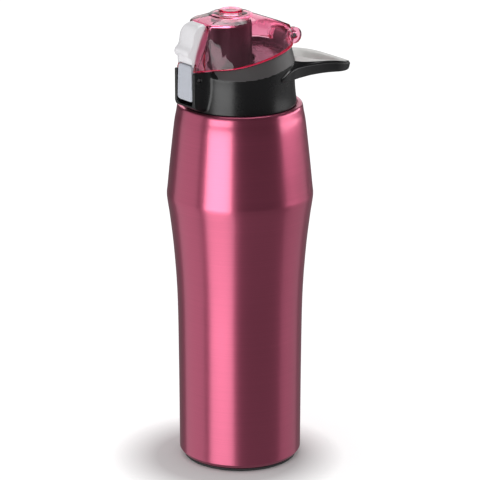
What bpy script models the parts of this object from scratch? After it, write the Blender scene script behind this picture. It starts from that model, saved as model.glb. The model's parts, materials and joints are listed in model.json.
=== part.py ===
"""Double-walled sports bottle with a flip lid, a push-button latch and a finger loop.

Frame: the origin is on the bottle's axis at the surface it stands on, +Z points up,
-Y is the front (latch and button), +Y is the back (hinge and loop).
Dimensions below are in millimetres and become metres when a mesh is made.
"""

import math

import bmesh
import bpy
from mathutils import Vector

MM = 0.001
GAP = 0.3                      # clearance between neighbouring pieces

# Flask: (height, radius) of the painted outside, from the foot to the shoulder.
BODY_STATIONS = (
    (4.5, 36.0), (60.0, 36.3), (100.0, 36.9), (128.0, 38.7), (148.0, 40.9), (157.0, 42.2),
    (162.0, 42.7), (167.0, 42.2), (182.0, 40.7), (200.0, 38.7), (207.0, 37.8), (211.5, 36.9),
)
SHELL_INSIDE = (0, 2, 3, 4, 6, 8, 11)    # stations that the inside of the skin follows
SHELL_WALL = 0.8
FLASK_WALL = 0.6
FLASK_RADIUS = 32.2            # outside of the inner flask
FLASK_BOTTOM = 8.0
LEDGE_Z = 214.9                # ledge that the collar stands over
NECK_RADIUS = 27.1
NECK_TOP = 231.4
MOUTH_RADIUS = 25.6
FOOT_RADIUS = 33.6
FOOT_RECESS_RADIUS = 25.4
BODY_STEPS = 40

# Screw thread of the neck and the cap.
PITCH = 4.0
THREAD_TURNS = 1.25
THREAD_HEIGHT = 1.0
THREAD_WIDTH = 1.2
THREAD_START_Z = 219.5
INSERT_RADIUS = 28.5
COLLAR_BORE = 30.0
THREAD_STEPS = 24

# Collar: the slanted parting line under the lid.
COLLAR_BOTTOM = 215.3
PLATE_Z = 234.6                # underside of the collar's closing plate
RIM_LOW = 241.0                # parting line at the front
RIM_HIGH = 250.7               # and at the back
RIM_START_Y = -30.0
RIM_RUN = 55.0
RIM_RADIUS = 29.7
CREASE_RADIUS = 31.4
BAND_FRONT = 3.5
BAND_BACK = 9.4
DECK_RADIUS = 27.9
DECK_DEPTH = 3.4
RIM_GAP = 0.4
COLLAR_STEPS = 52

# Spout.
SPOUT_Y = -6.5
SPOUT_SEAT_Z = 237.7
SPOUT_TOP_Z = 265.4
SPOUT_HOLE = 10.8
FLANGE_RADIUS = 12.9

# Button housing, button and pins.
HOUSING_HALF = 10.0
HOUSING_FRONT = -39.3
HOUSING_BOTTOM = 218.0
POCKET_HALF = 7.6
POCKET_BACK = -32.0
POCKET_BOTTOM = 220.6
BUTTON_AXIS = (0.0, -35.6, 236.3)
BUTTON_TOP = 244.0
BUTTON_BOTTOM = 223.2
BUTTON_BACK = -35.2
BUTTON_FRONT = -39.0
PIN_RADIUS = 1.2
SPRING_Z = 227.5

# Hinge.
LID_AXIS = (0.0, 32.0, 253.0)
KNUCKLE_RADIUS = 4.2
KNUCKLE_LEFT = -6.3
KNUCKLE_RIGHT = 3.0
EAR_RADIUS = 4.8
EAR_INNER = 6.9
EAR_OUTER = 9.9
HINGE_PIN_RADIUS = 1.65

# Lid: matching key points of its lower edge and of the edge of its top, front to back.
LID_WALL = 1.8
LID_SWELL = 0.8                # how far the side bulges half way up
LID_RADIUS = 30.6
LID_LOW_FRONT = ((0.0, -38.4), (8.0, -38.2), (12.6, -31.4), (17.6, -25.0))
LID_LOW_BACK = (9.8, 29.0)
LID_TOP = (
    (0.0, -28.5, 267.3), (7.6, -28.6, 267.3), (9.6, -28.2, 267.3), (15.4, -21.0, 267.0),
    (17.4, -13.0, 266.3), (17.2, -5.0, 266.3), (15.0, 2.5, 267.3), (11.6, 9.5, 266.8),
    (10.0, 17.0, 264.6), (9.8, 29.0, 259.8), (0.0, 29.0, 260.2),
)
BOSS_RADIUS = 6.2
BOSS_TOP = 272.1
BOSS_BASE_RADIUS = 9.3
BOSS_BASE_Z = 270.4
LATCH_HALF = 6.9
LATCH_SLOT = 7.3
LATCH_OUTLINE = (              # side view, (y, height): front face, lip, leg, back face
    (-29.4, 267.0), (-32.8, 265.4), (-35.6, 262.0), (-36.8, 257.0), (-38.4, 254.4), (-41.4, 252.6),
    (-41.9, 251.2), (-40.8, 249.6), (-38.0, 248.6), (-37.7, 244.4), (-35.0, 244.4), (-33.6, 243.4),
    (-33.6, 239.3), (-32.5, 239.3), (-32.4, 246.0), (-28.9, 262.0), (-28.9, 266.8),
)

# Finger loop.
LOOP_CENTRE_Y = 55.0
LOOP_REACH = 74.4
LOOP_POWER = 0.95              # below 1 the loop's round end is squarer than an ellipse
LOOP_ARM = (                   # (y, half width) of the outer edge, from the arms' tips to the round end
    (7.0, 32.0), (9.0, 31.7), (13.5, 30.4), (18.5, 27.6), (25.0, 24.7), (34.0, 22.4),
    (46.0, 20.9), (55.0, 20.5),
)
LIP_ARM = ((14.0, 19.5), (22.0, 20.6), (30.0, 21.2), (38.0, 20.8), (46.0, 20.0), (LOOP_CENTRE_Y, 19.6))
LIP_REACH = LOOP_REACH - 1.2
HOLE_HALF = 14.8
HOLE_HALF_LENGTH = 14.0
LOOP_DISH = 0.8                # how far the upper face dips towards the hole
LOOP_BEVEL = 0.6               # height and width of the bevel under the outer ridge
LOOP_STEPS = 48
LOOP_TOP = (                   # (y, height) of the upper face
    (14.0, 244.5), (20.0, 242.6), (25.0, 241.1), (31.0, 239.9), (42.0, 238.5), (52.0, 237.3),
    (60.0, 235.8), (67.0, 234.1), (LOOP_REACH, 231.4),
)
LOOP_RIDGE = (                 # (y, height) of the outer ridge
    (7.0, 235.3), (9.0, 236.1), (13.5, 238.0), (18.5, 238.5), (25.0, 238.4), (34.0, 237.9),
    (46.0, 237.1), (55.0, 236.0), (62.0, 234.6), (69.0, 232.8), (LOOP_REACH, 230.7),
)
LOOP_BOTTOM = (                # (y, height) of the underside
    (7.0, 232.9), (18.5, 232.0), (26.0, 231.5), (34.0, 231.3), (46.0, 230.6), (60.0, 229.1),
    (LOOP_REACH, 227.4),
)
LINER_SKIN = 0.85              # thickness of the soft liner


# ---------------------------------------------------------------- helpers

def material(name, colour, roughness, metallic=0.0, alpha=1.0):
    """Return a Principled BSDF material."""
    mat = bpy.data.materials.new(name)
    mat.use_nodes = True
    shader = mat.node_tree.nodes["Principled BSDF"]
    shader.inputs["Base Color"].default_value = (*colour, 1.0)
    shader.inputs["Roughness"].default_value = roughness
    shader.inputs["Metallic"].default_value = metallic
    shader.inputs["Alpha"].default_value = alpha
    return mat


def make_object(name, points, faces, mat, origin=(0.0, 0.0, 0.0), guide=False):
    """Make one object from points in millimetres, with its origin where asked."""
    start = Vector(origin)
    mesh = bpy.data.meshes.new(name)
    mesh.from_pydata([(Vector(p) - start) * MM for p in points], [], faces)
    tidy = bmesh.new()
    tidy.from_mesh(mesh)
    bmesh.ops.remove_doubles(tidy, verts=tidy.verts, dist=1e-6)
    bmesh.ops.recalc_face_normals(tidy, faces=tidy.faces)
    tidy.to_mesh(mesh)
    tidy.free()
    if mat is not None:
        mesh.materials.append(mat)
    mesh.shade_smooth()
    mesh.set_sharp_from_angle(angle=math.radians(35.0))
    obj = bpy.data.objects.new(name, mesh)
    obj.location = start * MM
    bpy.context.scene.collection.objects.link(obj)
    if guide:
        obj.hide_render = True
        obj.display_type = "WIRE"
    return obj


def loft(rings, closed=False):
    """Join rings of points into a skin. A ring of one point closes an end."""
    points = []
    starts = []
    for ring in rings:
        starts.append(len(points))
        points.extend(ring)
    faces = []
    pairs = list(zip(range(len(rings) - 1), range(1, len(rings))))
    if closed:
        pairs.append((len(rings) - 1, 0))
    for low, high in pairs:
        a, b = rings[low], rings[high]
        count = max(len(a), len(b))
        for i in range(count):
            j = (i + 1) % count
            if len(a) == 1:
                faces.append((starts[low], starts[high] + i, starts[high] + j))
            elif len(b) == 1:
                faces.append((starts[low] + i, starts[high], starts[low] + j))
            else:
                faces.append((starts[low] + i, starts[high] + i, starts[high] + j, starts[low] + j))
    return points, faces


def turned(profile, steps, centre=(0.0, 0.0)):
    """Turn an outline of (radius, height) about a vertical axis."""
    rings = []
    for radius, height in profile:
        if radius == 0.0:
            rings.append([(centre[0], centre[1], height)])
            continue
        ring = []
        for i in range(steps):
            turn = math.tau * i / steps
            ring.append((centre[0] + radius * math.cos(turn), centre[1] + radius * math.sin(turn), height))
        rings.append(ring)
    return loft(rings, closed=profile[0][0] > 0.0)


def extruded(outline, axis, low, high):
    """Push a flat outline along an axis. The outline holds the other two coordinates."""
    rings = []
    for depth in (low, high):
        ring = []
        for u, v in outline:
            point = [u, v]
            point.insert(axis, depth)
            ring.append(tuple(point))
        rings.append(ring)
    points, faces = loft(rings)
    count = len(outline)
    faces.append(tuple(range(count)))
    faces.append(tuple(range(2 * count - 1, count - 1, -1)))
    return points, faces


def disc_outline(centre, radius, steps):
    """Points of a circle in a plane."""
    turn = [math.tau * (i + 0.5) / steps for i in range(steps)]
    return [(centre[0] + radius * math.cos(t), centre[1] + radius * math.sin(t)) for t in turn]


def rod_along_x(centre, radius, low, high, steps=24):
    """A rod along X through a centre in the YZ plane."""
    return extruded(disc_outline(centre, radius, steps), 0, low, high)


def box_solid(low, high):
    """A box between two corners."""
    outline = [(low[1], low[2]), (high[1], low[2]), (high[1], high[2]), (low[1], high[2])]
    return extruded(outline, 0, low[0], high[0])


def between(stations, at):
    """Read a value from (place, value) stations, in straight steps."""
    if at <= stations[0][0]:
        return stations[0][1]
    for (a, low), (b, high) in zip(stations, stations[1:]):
        if at <= b:
            return low + (high - low) * (at - a) / (b - a)
    return stations[-1][1]


def combine(obj, operation, name, solid):
    """Cut an object with a guide solid, or join them."""
    guide = make_object(name, *solid, None, guide=True)
    change = obj.modifiers.new(name, "BOOLEAN")
    change.operation = operation
    change.solver = "EXACT"
    change.object = guide


def tube(route, radius, sides):
    """A closed tube along a route of points."""
    rings = [[tuple(route[0])]]
    side = Vector((1.0, 0.0, 0.0))
    for i, point in enumerate(route):
        ahead = Vector(route[min(i + 1, len(route) - 1)]) - Vector(route[max(i - 1, 0)])
        ahead.normalize()
        side = (side - ahead * side.dot(ahead)).normalized()
        up = ahead.cross(side)
        ring = []
        for k in range(sides):
            turn = math.tau * k / sides
            ring.append(tuple(Vector(point) + radius * (math.cos(turn) * side + math.sin(turn) * up)))
        rings.append(ring)
    rings.append([tuple(route[-1])])
    return loft(rings)


# ---------------------------------------------------------------- flask

def thread_ridge(root, crest, lift):
    """A one-start helical ridge between two radii, tapered to nothing at both ends."""
    rings = []
    steps = int(THREAD_STEPS * THREAD_TURNS)
    for i in range(steps + 1):
        turn = math.tau * i / THREAD_STEPS
        height = THREAD_START_Z + lift + PITCH * turn / math.tau
        fade = min(1.0, min(i, steps - i) / 4.0 + 0.1)
        tip = root + (crest - root) * fade
        section = (
            (root, height - THREAD_WIDTH * 0.5), (tip, height - THREAD_WIDTH * 0.25),
            (tip, height + THREAD_WIDTH * 0.25), (root, height + THREAD_WIDTH * 0.5),
        )
        rings.append([(r * math.cos(turn), r * math.sin(turn), z) for r, z in section])
    points, faces = loft(rings)
    last = len(points) - 4
    faces.append((0, 1, 2, 3))
    faces.append((last + 3, last + 2, last + 1, last))
    return points, faces


def outer_shell(mat):
    """Painted steel skin, necked in to a threaded neck."""
    outside = [(31.0, 2.0), (33.8, 2.0), (35.3, 2.8)]
    outside += [(radius, height) for height, radius in BODY_STATIONS]
    outside += [(35.9, 214.6), (34.9, 216.0), (33.9, 216.3), (33.5, 215.9), (33.5, LEDGE_Z)]
    outside += [(NECK_RADIUS, LEDGE_Z), (NECK_RADIUS, NECK_TOP)]
    neck_inside = NECK_RADIUS - FLASK_WALL
    inside = [(neck_inside, NECK_TOP), (neck_inside, LEDGE_Z - SHELL_WALL), (34.2, LEDGE_Z - SHELL_WALL)]
    inside += [(BODY_STATIONS[i][1] - SHELL_WALL, BODY_STATIONS[i][0]) for i in reversed(SHELL_INSIDE)]
    inside += [(34.6, 3.2), (31.0, 2.8)]
    obj = make_object("outer_shell", *turned(outside + inside, BODY_STEPS), mat)
    ridge = thread_ridge(NECK_RADIUS - 0.3, NECK_RADIUS + THREAD_HEIGHT, 0.0)
    combine(obj, "UNION", "neck_thread_guide", ridge)


def inner_flask(mat):
    """Steel liner that holds the drink, with its rim rolled over the neck."""
    neck = MOUTH_RADIUS + FLASK_WALL
    inner = FLASK_RADIUS - FLASK_WALL
    roll = NECK_TOP + GAP
    roll_top = roll + 0.7
    profile = [
        (0.0, FLASK_BOTTOM), (26.0, FLASK_BOTTOM), (30.2, 9.2), (FLASK_RADIUS, 12.5),
        (FLASK_RADIUS, 198.0), (30.5, 204.5), (neck, 211.8), (neck, roll), (27.4, roll),
        (27.4, roll_top), (MOUTH_RADIUS, roll_top), (MOUTH_RADIUS, 211.6), (29.9, 204.2),
        (inner, 197.8), (inner, 12.8), (29.8, 9.8), (26.0, FLASK_BOTTOM + FLASK_WALL),
        (0.0, FLASK_BOTTOM + FLASK_WALL),
    ]
    make_object("inner_flask", *turned(profile, BODY_STEPS), mat)


def base_cup(mat):
    """Pressed steel disc that closes the skin under the flask."""
    profile = [
        (0.0, 4.4), (25.8, 4.4), (26.8, 2.0), (30.7, 2.0), (30.7, 2.8), (27.4, 2.8), (26.4, 5.2),
        (0.0, 5.2),
    ]
    make_object("base_cup", *turned(profile, BODY_STEPS), mat)


def vacuum_getter(mat):
    """Getter tablet in the vacuum space, under the inner flask."""
    profile = [(0.0, 5.5), (5.0, 5.5), (5.6, 6.2), (5.6, 7.1), (5.0, 7.7), (0.0, 7.7)]
    make_object("vacuum_getter", *turned(profile, 24), mat)


def foot_pad(mat):
    """Black rubber foot, plugged into the recess of the base cup."""
    recess = FOOT_RECESS_RADIUS
    profile = [
        (0.0, 0.0), (FOOT_RADIUS - 0.8, 0.0), (FOOT_RADIUS, 0.7), (FOOT_RADIUS, 1.7), (recess + 1.0, 1.7),
        (recess, 4.1), (0.0, 4.1),
    ]
    make_object("foot_pad", *turned(profile, BODY_STEPS), mat)


# ---------------------------------------------------------------- cap

def rim_z(y):
    """Height of the parting line between the collar and the lid."""
    share = max(0.0, min(1.0, (y - RIM_START_Y) / RIM_RUN))
    return RIM_LOW + (RIM_HIGH - RIM_LOW) * math.sin(share ** 1.15 * math.pi / 2.0)


def crease_z(y):
    """Height of the crease between the collar's wall and its upper bevel."""
    share = max(0.0, min(1.0, (y + 31.0) / 31.0))
    return rim_z(y) - BAND_FRONT - (BAND_BACK - BAND_FRONT) * math.sin(share * math.pi / 2.0)


def collar_ring(radius, height):
    """A ring of the collar. Its height is a number or a function of y."""
    ring = []
    for i in range(COLLAR_STEPS):
        turn = math.tau * (i + 0.5) / COLLAR_STEPS
        x, y = radius * math.cos(turn), radius * math.sin(turn)
        ring.append((x, y, height(y) if callable(height) else height))
    return ring


def collar(mat):
    """Black collar with the button housing at the front and the hinge knuckle at the back."""
    def rim(y):
        return rim_z(y) - RIM_GAP

    def deck(y):
        return rim_z(y) - RIM_GAP - DECK_DEPTH

    rings = [
        [(0.0, 0.0, COLLAR_BOTTOM)], collar_ring(32.5, COLLAR_BOTTOM), collar_ring(33.0, 216.2),
        collar_ring(31.9, 224.0), collar_ring(31.5, 231.5), collar_ring(CREASE_RADIUS, crease_z),
        collar_ring(RIM_RADIUS, rim), collar_ring(DECK_RADIUS, rim), collar_ring(DECK_RADIUS, deck),
        collar_ring(18.0, deck), [(0.0, 0.0, deck(0.0))],
    ]
    obj = make_object("collar", *loft(rings), mat)
    housing_top = RIM_LOW - RIM_GAP
    housing = [
        (-28.2, housing_top), (HOUSING_FRONT + 0.6, housing_top), (HOUSING_FRONT, housing_top - 0.6),
        (HOUSING_FRONT, HOUSING_BOTTOM + 3.4), (HOUSING_FRONT + 3.4, HOUSING_BOTTOM),
        (-31.0, HOUSING_BOTTOM), (-28.2, HOUSING_BOTTOM + 0.6),
    ]
    combine(obj, "UNION", "housing_guide", extruded(housing, 0, -HOUSING_HALF, HOUSING_HALF))
    top_y, top_z = LID_AXIS[1], LID_AXIS[2]
    tower = [(27.6, 240.0), (30.6, 242.0), (top_y + KNUCKLE_RADIUS * 0.8, top_z - 5.2)]
    for i in range(9):
        turn = math.radians(-20.0 + 25.0 * i)
        tower.append((top_y + KNUCKLE_RADIUS * math.cos(turn), top_z + KNUCKLE_RADIUS * math.sin(turn)))
    combine(obj, "UNION", "knuckle_guide", extruded(tower, 0, KNUCKLE_LEFT, KNUCKLE_RIGHT))
    below = COLLAR_BOTTOM - 5.0
    bore = [(0.0, below), (COLLAR_BORE, below), (COLLAR_BORE, PLATE_Z), (0.0, PLATE_Z)]
    combine(obj, "DIFFERENCE", "bore_guide", turned(bore, COLLAR_STEPS))
    seat = FLANGE_RADIUS + 0.4
    well = [
        (0.0, below), (SPOUT_HOLE, below), (SPOUT_HOLE, SPOUT_SEAT_Z), (seat, SPOUT_SEAT_Z),
        (seat, SPOUT_TOP_Z), (0.0, SPOUT_TOP_Z),
    ]
    combine(obj, "DIFFERENCE", "well_guide", turned(well, 38, (0.0, SPOUT_Y)))
    pocket = box_solid((-POCKET_HALF, -50.0, POCKET_BOTTOM), (POCKET_HALF, POCKET_BACK, 260.0))
    combine(obj, "DIFFERENCE", "pocket_guide", pocket)
    clear = EAR_RADIUS + 0.5
    left = ("left", -EAR_OUTER - 0.4, KNUCKLE_LEFT)
    right = ("right", KNUCKLE_RIGHT, EAR_OUTER + 0.4)
    for side, low, high in (left, right):
        room = rod_along_x(LID_AXIS[1:], clear, low, high, 28)
        combine(obj, "DIFFERENCE", "ear_room_" + side + "_guide", room)
    hole = rod_along_x(BUTTON_AXIS[1:], PIN_RADIUS + GAP, -HOUSING_HALF - 2.0, HOUSING_HALF + 2.0, 16)
    combine(obj, "DIFFERENCE", "button_pin_guide", hole)
    hole = rod_along_x(LID_AXIS[1:], HINGE_PIN_RADIUS + GAP, KNUCKLE_LEFT - 0.1, KNUCKLE_RIGHT + 0.1, 20)
    combine(obj, "DIFFERENCE", "hinge_pin_guide", hole)


def threaded_insert(mat):
    """Threaded ring pressed into the collar."""
    outer = COLLAR_BORE - GAP
    low, high = COLLAR_BOTTOM + 1.1, PLATE_Z - GAP
    profile = [(INSERT_RADIUS, low), (outer, low), (outer, high), (INSERT_RADIUS, high)]
    obj = make_object("threaded_insert", *turned(profile, BODY_STEPS), mat)
    ridge = thread_ridge(INSERT_RADIUS + 0.3, INSERT_RADIUS - THREAD_HEIGHT, PITCH / 2.0)
    combine(obj, "UNION", "cap_thread_guide", ridge)


def neck_seal(mat):
    """Silicone ring between the neck's rim and the collar's plate."""
    profile = [(23.6, 232.8), (27.9, 232.8), (28.1, 233.1), (28.1, 234.0), (27.9, 234.3), (23.6, 234.3)]
    make_object("neck_seal", *turned(profile, BODY_STEPS), mat)


def spout(mat):
    """Drinking spout, seated on an O-ring in the collar's plate."""
    seat = SPOUT_SEAT_Z + GAP
    stub = PLATE_Z + 0.4
    profile = [
        (7.6, stub), (9.0, stub), (9.0, seat), (FLANGE_RADIUS, seat), (FLANGE_RADIUS, seat + 1.6),
        (12.5, seat + 2.2), (11.6, SPOUT_TOP_Z - 1.6), (10.9, SPOUT_TOP_Z - 0.3), (10.0, SPOUT_TOP_Z),
        (9.4, SPOUT_TOP_Z - 0.5), (8.6, 250.0),
    ]
    make_object("spout", *turned(profile, 32, (0.0, SPOUT_Y)), mat, (0.0, SPOUT_Y, SPOUT_SEAT_Z))


def spout_o_ring(mat):
    """O-ring round the spout's stub."""
    height = PLATE_Z + 1.7
    section = disc_outline((9.9, height), 0.6, 6)
    make_object("spout_o_ring", *turned(section, 28, (0.0, SPOUT_Y)), mat, (0.0, SPOUT_Y, height))


# ---------------------------------------------------------------- lid

def lid_low_half():
    """Lower edge of the lid, front to back, on the +X side."""
    corners = LID_LOW_FRONT
    points = [corners[0], corners[1]]
    for a, b in zip(corners[1:], corners[2:]):
        points += [((a[0] + b[0]) / 2.0, (a[1] + b[1]) / 2.0), b]
    start = math.atan2(corners[-1][1], corners[-1][0])
    end = math.atan2(LID_LOW_BACK[1], LID_LOW_BACK[0])
    steps = 12
    for i in range(1, steps + 1):
        turn = start + (end - start) * i / steps
        points.append((LID_RADIUS * math.cos(turn), LID_RADIUS * math.sin(turn)))
    half = LID_LOW_BACK[0] / 2.0
    points.append((half, math.sqrt(LID_RADIUS ** 2 - half ** 2)))
    points.append((0.0, LID_RADIUS))
    return [(x, y, rim_z(y)) for x, y in points]


def lid_top_half():
    """Edge of the lid's top, front to back, on the +X side."""
    points = [LID_TOP[0], LID_TOP[1]]
    for a, b in zip(LID_TOP[1:], LID_TOP[2:]):
        points += [tuple((p + q) / 2.0 for p, q in zip(a, b)), b]
    return points


def mirrored(half):
    """Close a half outline that starts and ends on x = 0."""
    return half + [(-x, y, z) for x, y, z in reversed(half[1:-1])]


def inset(outline, distance, drop):
    """Move an outline inwards in plan and down."""
    moved = []
    count = len(outline)
    for i, point in enumerate(outline):
        before, after = outline[i - 1], outline[(i + 1) % count]
        along = Vector((after[0] - before[0], after[1] - before[1]))
        along.normalize()
        moved.append((point[0] - along.y * distance, point[1] + along.x * distance, point[2] - drop))
    return moved


def boss_ring(outline, radius, height):
    """A circle about the spout's axis, with one point towards each point of an outline."""
    ring = []
    for x, y, _ in outline:
        turn = math.atan2(y - SPOUT_Y, x)
        ring.append((radius * math.cos(turn), SPOUT_Y + radius * math.sin(turn), height))
    return ring


def belly(low, high, swell):
    """The ring half way up the lid's side, swollen outwards a little."""
    middle = [tuple((p + q) / 2.0 for p, q in zip(a, b)) for a, b in zip(low, high)]
    return inset(middle, -swell, 0.0)


def flip_lid(mat):
    """Clear tinted lid, hollow under its top, with two hinge ears."""
    low = mirrored(lid_low_half())
    top = mirrored(lid_top_half())
    low_in = inset(low, LID_WALL, 0.0)
    top_in = inset(top, LID_WALL, LID_WALL)
    ceiling = BOSS_BASE_Z - LID_WALL
    rings = [
        [(0.0, SPOUT_Y, BOSS_TOP)], boss_ring(top, BOSS_RADIUS, BOSS_TOP),
        boss_ring(top, BOSS_BASE_RADIUS, BOSS_BASE_Z), top, belly(low, top, LID_SWELL), low,
        low_in, belly(low_in, top_in, LID_SWELL), top_in, boss_ring(top, BOSS_BASE_RADIUS, ceiling),
        [(0.0, SPOUT_Y, ceiling)],
    ]
    obj = make_object("flip_lid", *loft(rings), mat, LID_AXIS)
    slot = box_solid((-LATCH_SLOT, -50.0, 230.0), (LATCH_SLOT, -28.4, 275.0))
    combine(obj, "DIFFERENCE", "latch_slot_guide", slot)
    centre = LID_AXIS[1:]
    room = rod_along_x(centre, KNUCKLE_RADIUS + 0.5, GAP - EAR_INNER, EAR_INNER - GAP, 28)
    combine(obj, "DIFFERENCE", "knuckle_room_guide", room)
    for name, low_x, high_x in (("left", -EAR_OUTER, -EAR_INNER), ("right", EAR_INNER, EAR_OUTER)):
        combine(obj, "UNION", name + "_ear_guide", rod_along_x(centre, EAR_RADIUS, low_x, high_x, 24))
    hole = rod_along_x(centre, HINGE_PIN_RADIUS + GAP, -20.0, 20.0, 20)
    combine(obj, "DIFFERENCE", "ear_hole_guide", hole)


def lid_seal(mat):
    """Silicone pad under the boss, which closes the spout."""
    plug = SPOUT_TOP_Z - 0.5
    face = SPOUT_TOP_Z + GAP
    profile = [
        (0.0, plug), (6.6, plug), (7.2, face), (10.8, face), (11.2, face + 0.4), (10.9, face + 1.2),
        (6.0, face + 1.2), (5.6, face + 2.5), (0.0, face + 2.5),
    ]
    make_object("lid_seal", *turned(profile, 32, (0.0, SPOUT_Y)), mat, LID_AXIS)


def thumb_latch(mat):
    """White thumb piece in the lid's front, with a lip and a latch leg."""
    make_object("thumb_latch", *extruded(LATCH_OUTLINE, 0, -LATCH_HALF, LATCH_HALF), mat, LID_AXIS)


# ---------------------------------------------------------------- button and hinge hardware

def release_button(mat):
    """Grey rocker button, pivoted near its top."""
    wide, narrow, corner = 7.2, 6.3, 2.6
    outline = [(narrow, BUTTON_TOP - 0.8), (narrow - 0.8, BUTTON_TOP), (-narrow + 0.8, BUTTON_TOP)]
    outline += [(-narrow, BUTTON_TOP - 0.8)]
    for sign, first in ((-1.0, 180.0), (1.0, 270.0)):
        for i in range(4):
            turn = math.radians(first + 30.0 * i)
            x = sign * (wide - corner) + corner * math.cos(turn)
            outline.append((x, BUTTON_BOTTOM + corner + corner * math.sin(turn)))
    rings = []
    for depth, shrink in ((BUTTON_BACK, 1.0), (BUTTON_FRONT + 0.8, 1.0), (BUTTON_FRONT, 0.9)):
        middle = (BUTTON_TOP + BUTTON_BOTTOM) / 2.0
        lean = 0.5 + shrink / 2.0
        rings.append([(x * shrink, depth, middle + (z - middle) * lean) for x, z in outline])
    points, faces = loft(rings)
    count = len(outline)
    faces.append(tuple(range(count)))
    faces.append(tuple(range(3 * count - 1, 2 * count - 1, -1)))
    obj = make_object("release_button", points, faces, mat, BUTTON_AXIS)
    centre = BUTTON_AXIS[1:]
    combine(obj, "UNION", "pivot_boss_guide", rod_along_x(centre, PIN_RADIUS * 2.0, -6.0, 6.0, 20))
    combine(obj, "DIFFERENCE", "pivot_hole_guide", rod_along_x(centre, PIN_RADIUS + GAP, -20.0, 20.0, 16))


def button_pin(mat):
    """Steel pivot pin of the button."""
    make_object("button_pin", *rod_along_x(BUTTON_AXIS[1:], PIN_RADIUS, -9.6, 9.6, 16), mat, BUTTON_AXIS)


def button_spring(mat):
    """Compression spring behind the lower half of the button."""
    turns, radius, wire = 2.5, 2.2, 0.3
    back, front = POCKET_BACK - GAP - wire, BUTTON_BACK + GAP + wire
    steps = int(turns * 14)
    route = []
    for i in range(steps + 1):
        turn = math.tau * turns * i / steps
        along = back + (front - back) * i / steps
        route.append((radius * math.cos(turn), along, SPRING_Z + radius * math.sin(turn)))
    make_object("button_spring", *tube(route, wire, 6), mat, (0.0, BUTTON_BACK, SPRING_Z))


def hinge_pin(mat):
    """Steel hinge pin."""
    make_object("hinge_pin", *rod_along_x(LID_AXIS[1:], HINGE_PIN_RADIUS, -9.4, 9.4, 20), mat, LID_AXIS)


def hinge_spring(mat):
    """Torsion spring round the hinge pin, beside the knuckle."""
    turns, radius, wire = 3.5, 2.6, 0.35
    low, high = KNUCKLE_RIGHT + GAP + wire, EAR_INNER - GAP - wire
    steps = int(turns * 12)
    route = [(low, LID_AXIS[1] - 3.4, LID_AXIS[2] - radius)]
    for i in range(steps + 1):
        turn = -math.pi / 2.0 + math.tau * turns * i / steps
        along = low + (high - low) * i / steps
        route.append((along, LID_AXIS[1] + radius * math.cos(turn), LID_AXIS[2] + radius * math.sin(turn)))
    route.append((high, LID_AXIS[1] - 2.9, LID_AXIS[2] + radius))
    make_object("hinge_spring", *tube(route, wire, 6), mat, LID_AXIS)


# ---------------------------------------------------------------- finger loop

def loop_outline(arm, reach):
    """An outline of the loop in plan: two arms of (y, half width), and a round end."""
    outline = []
    for i in range(LOOP_STEPS):
        turn = math.tau * i / LOOP_STEPS
        c, s = math.cos(turn), math.sin(turn)
        if s >= 0.0:
            across = arm[-1][1] * abs(c) ** LOOP_POWER
            y = LOOP_CENTRE_Y + (reach - LOOP_CENTRE_Y) * s ** LOOP_POWER
        else:
            y = LOOP_CENTRE_Y - (LOOP_CENTRE_Y - arm[0][0]) * min(1.0, -s / 0.7)
            across = between(arm, y) * min(1.0, abs(c) / math.sqrt(1.0 - 0.49))
        outline.append((math.copysign(across, c), y))
    return outline


def outer_ring(inset, heights, drop):
    """A ring just inside the loop's outer edge, below a line of (y, height) stations."""
    arm = [(y, half - inset) for y, half in LOOP_ARM]
    return [(x, y, between(heights, y) - drop) for x, y in loop_outline(arm, LOOP_REACH - inset)]


def lip_ring(inset, drop):
    """A ring just inside the seat of the liner, below the upper face."""
    arm = [(y, half - inset) for y, half in LIP_ARM]
    return [(x, y, between(LOOP_TOP, y) - drop) for x, y in loop_outline(arm, LIP_REACH - inset)]


def hole_ring(inset, heights, drop):
    """A ring inside the loop's hole, below a line of (y, height) stations."""
    ring = []
    for i in range(LOOP_STEPS):
        turn = math.tau * i / LOOP_STEPS
        x = (HOLE_HALF - inset) * math.cos(turn)
        y = LOOP_CENTRE_Y + (HOLE_HALF_LENGTH - inset) * math.sin(turn)
        ring.append((x, y, between(heights, y) - drop))
    return ring


def collar_room():
    """The space of the collar, which the loop's root hugs."""
    profile = [
        (0.0, 200.0), (33.4, 200.0), (33.4, 216.4), (32.3, 224.0), (31.9, 231.5), (31.8, 236.0),
        (31.8, 243.2), (30.6, 250.0), (0.0, 250.0),
    ]
    return turned(profile, COLLAR_STEPS * 2)


def carry_loop(mat):
    """Black finger loop, seated round the collar's back."""
    seat = LINER_SKIN + 2.0 * GAP
    rings = [
        hole_ring(0.0, LOOP_TOP, LOOP_DISH + seat), lip_ring(0.0, seat), lip_ring(0.0, 0.0),
        outer_ring(LOOP_BEVEL, LOOP_RIDGE, 0.0), outer_ring(0.0, LOOP_RIDGE, LOOP_BEVEL),
        outer_ring(0.8, LOOP_BOTTOM, 0.0), hole_ring(0.0, LOOP_BOTTOM, 0.0),
    ]
    obj = make_object("carry_loop", *loft(rings, closed=True), mat)
    combine(obj, "DIFFERENCE", "collar_room_guide", collar_room())


def loop_liner(mat):
    """Off-white soft liner of the loop's hole and upper face."""
    wall = GAP + LINER_SKIN
    rings = [
        hole_ring(GAP, LOOP_BOTTOM, -0.6), hole_ring(wall, LOOP_BOTTOM, -0.9),
        hole_ring(wall, LOOP_TOP, LOOP_DISH + 1.4), hole_ring(GAP, LOOP_TOP, LOOP_DISH),
        lip_ring(GAP, 0.1), lip_ring(GAP, LINER_SKIN + 0.1), hole_ring(GAP, LOOP_TOP, LOOP_DISH + LINER_SKIN),
    ]
    obj = make_object("loop_liner", *loft(rings, closed=True), mat)
    combine(obj, "DIFFERENCE", "liner_collar_room_guide", collar_room())


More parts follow.
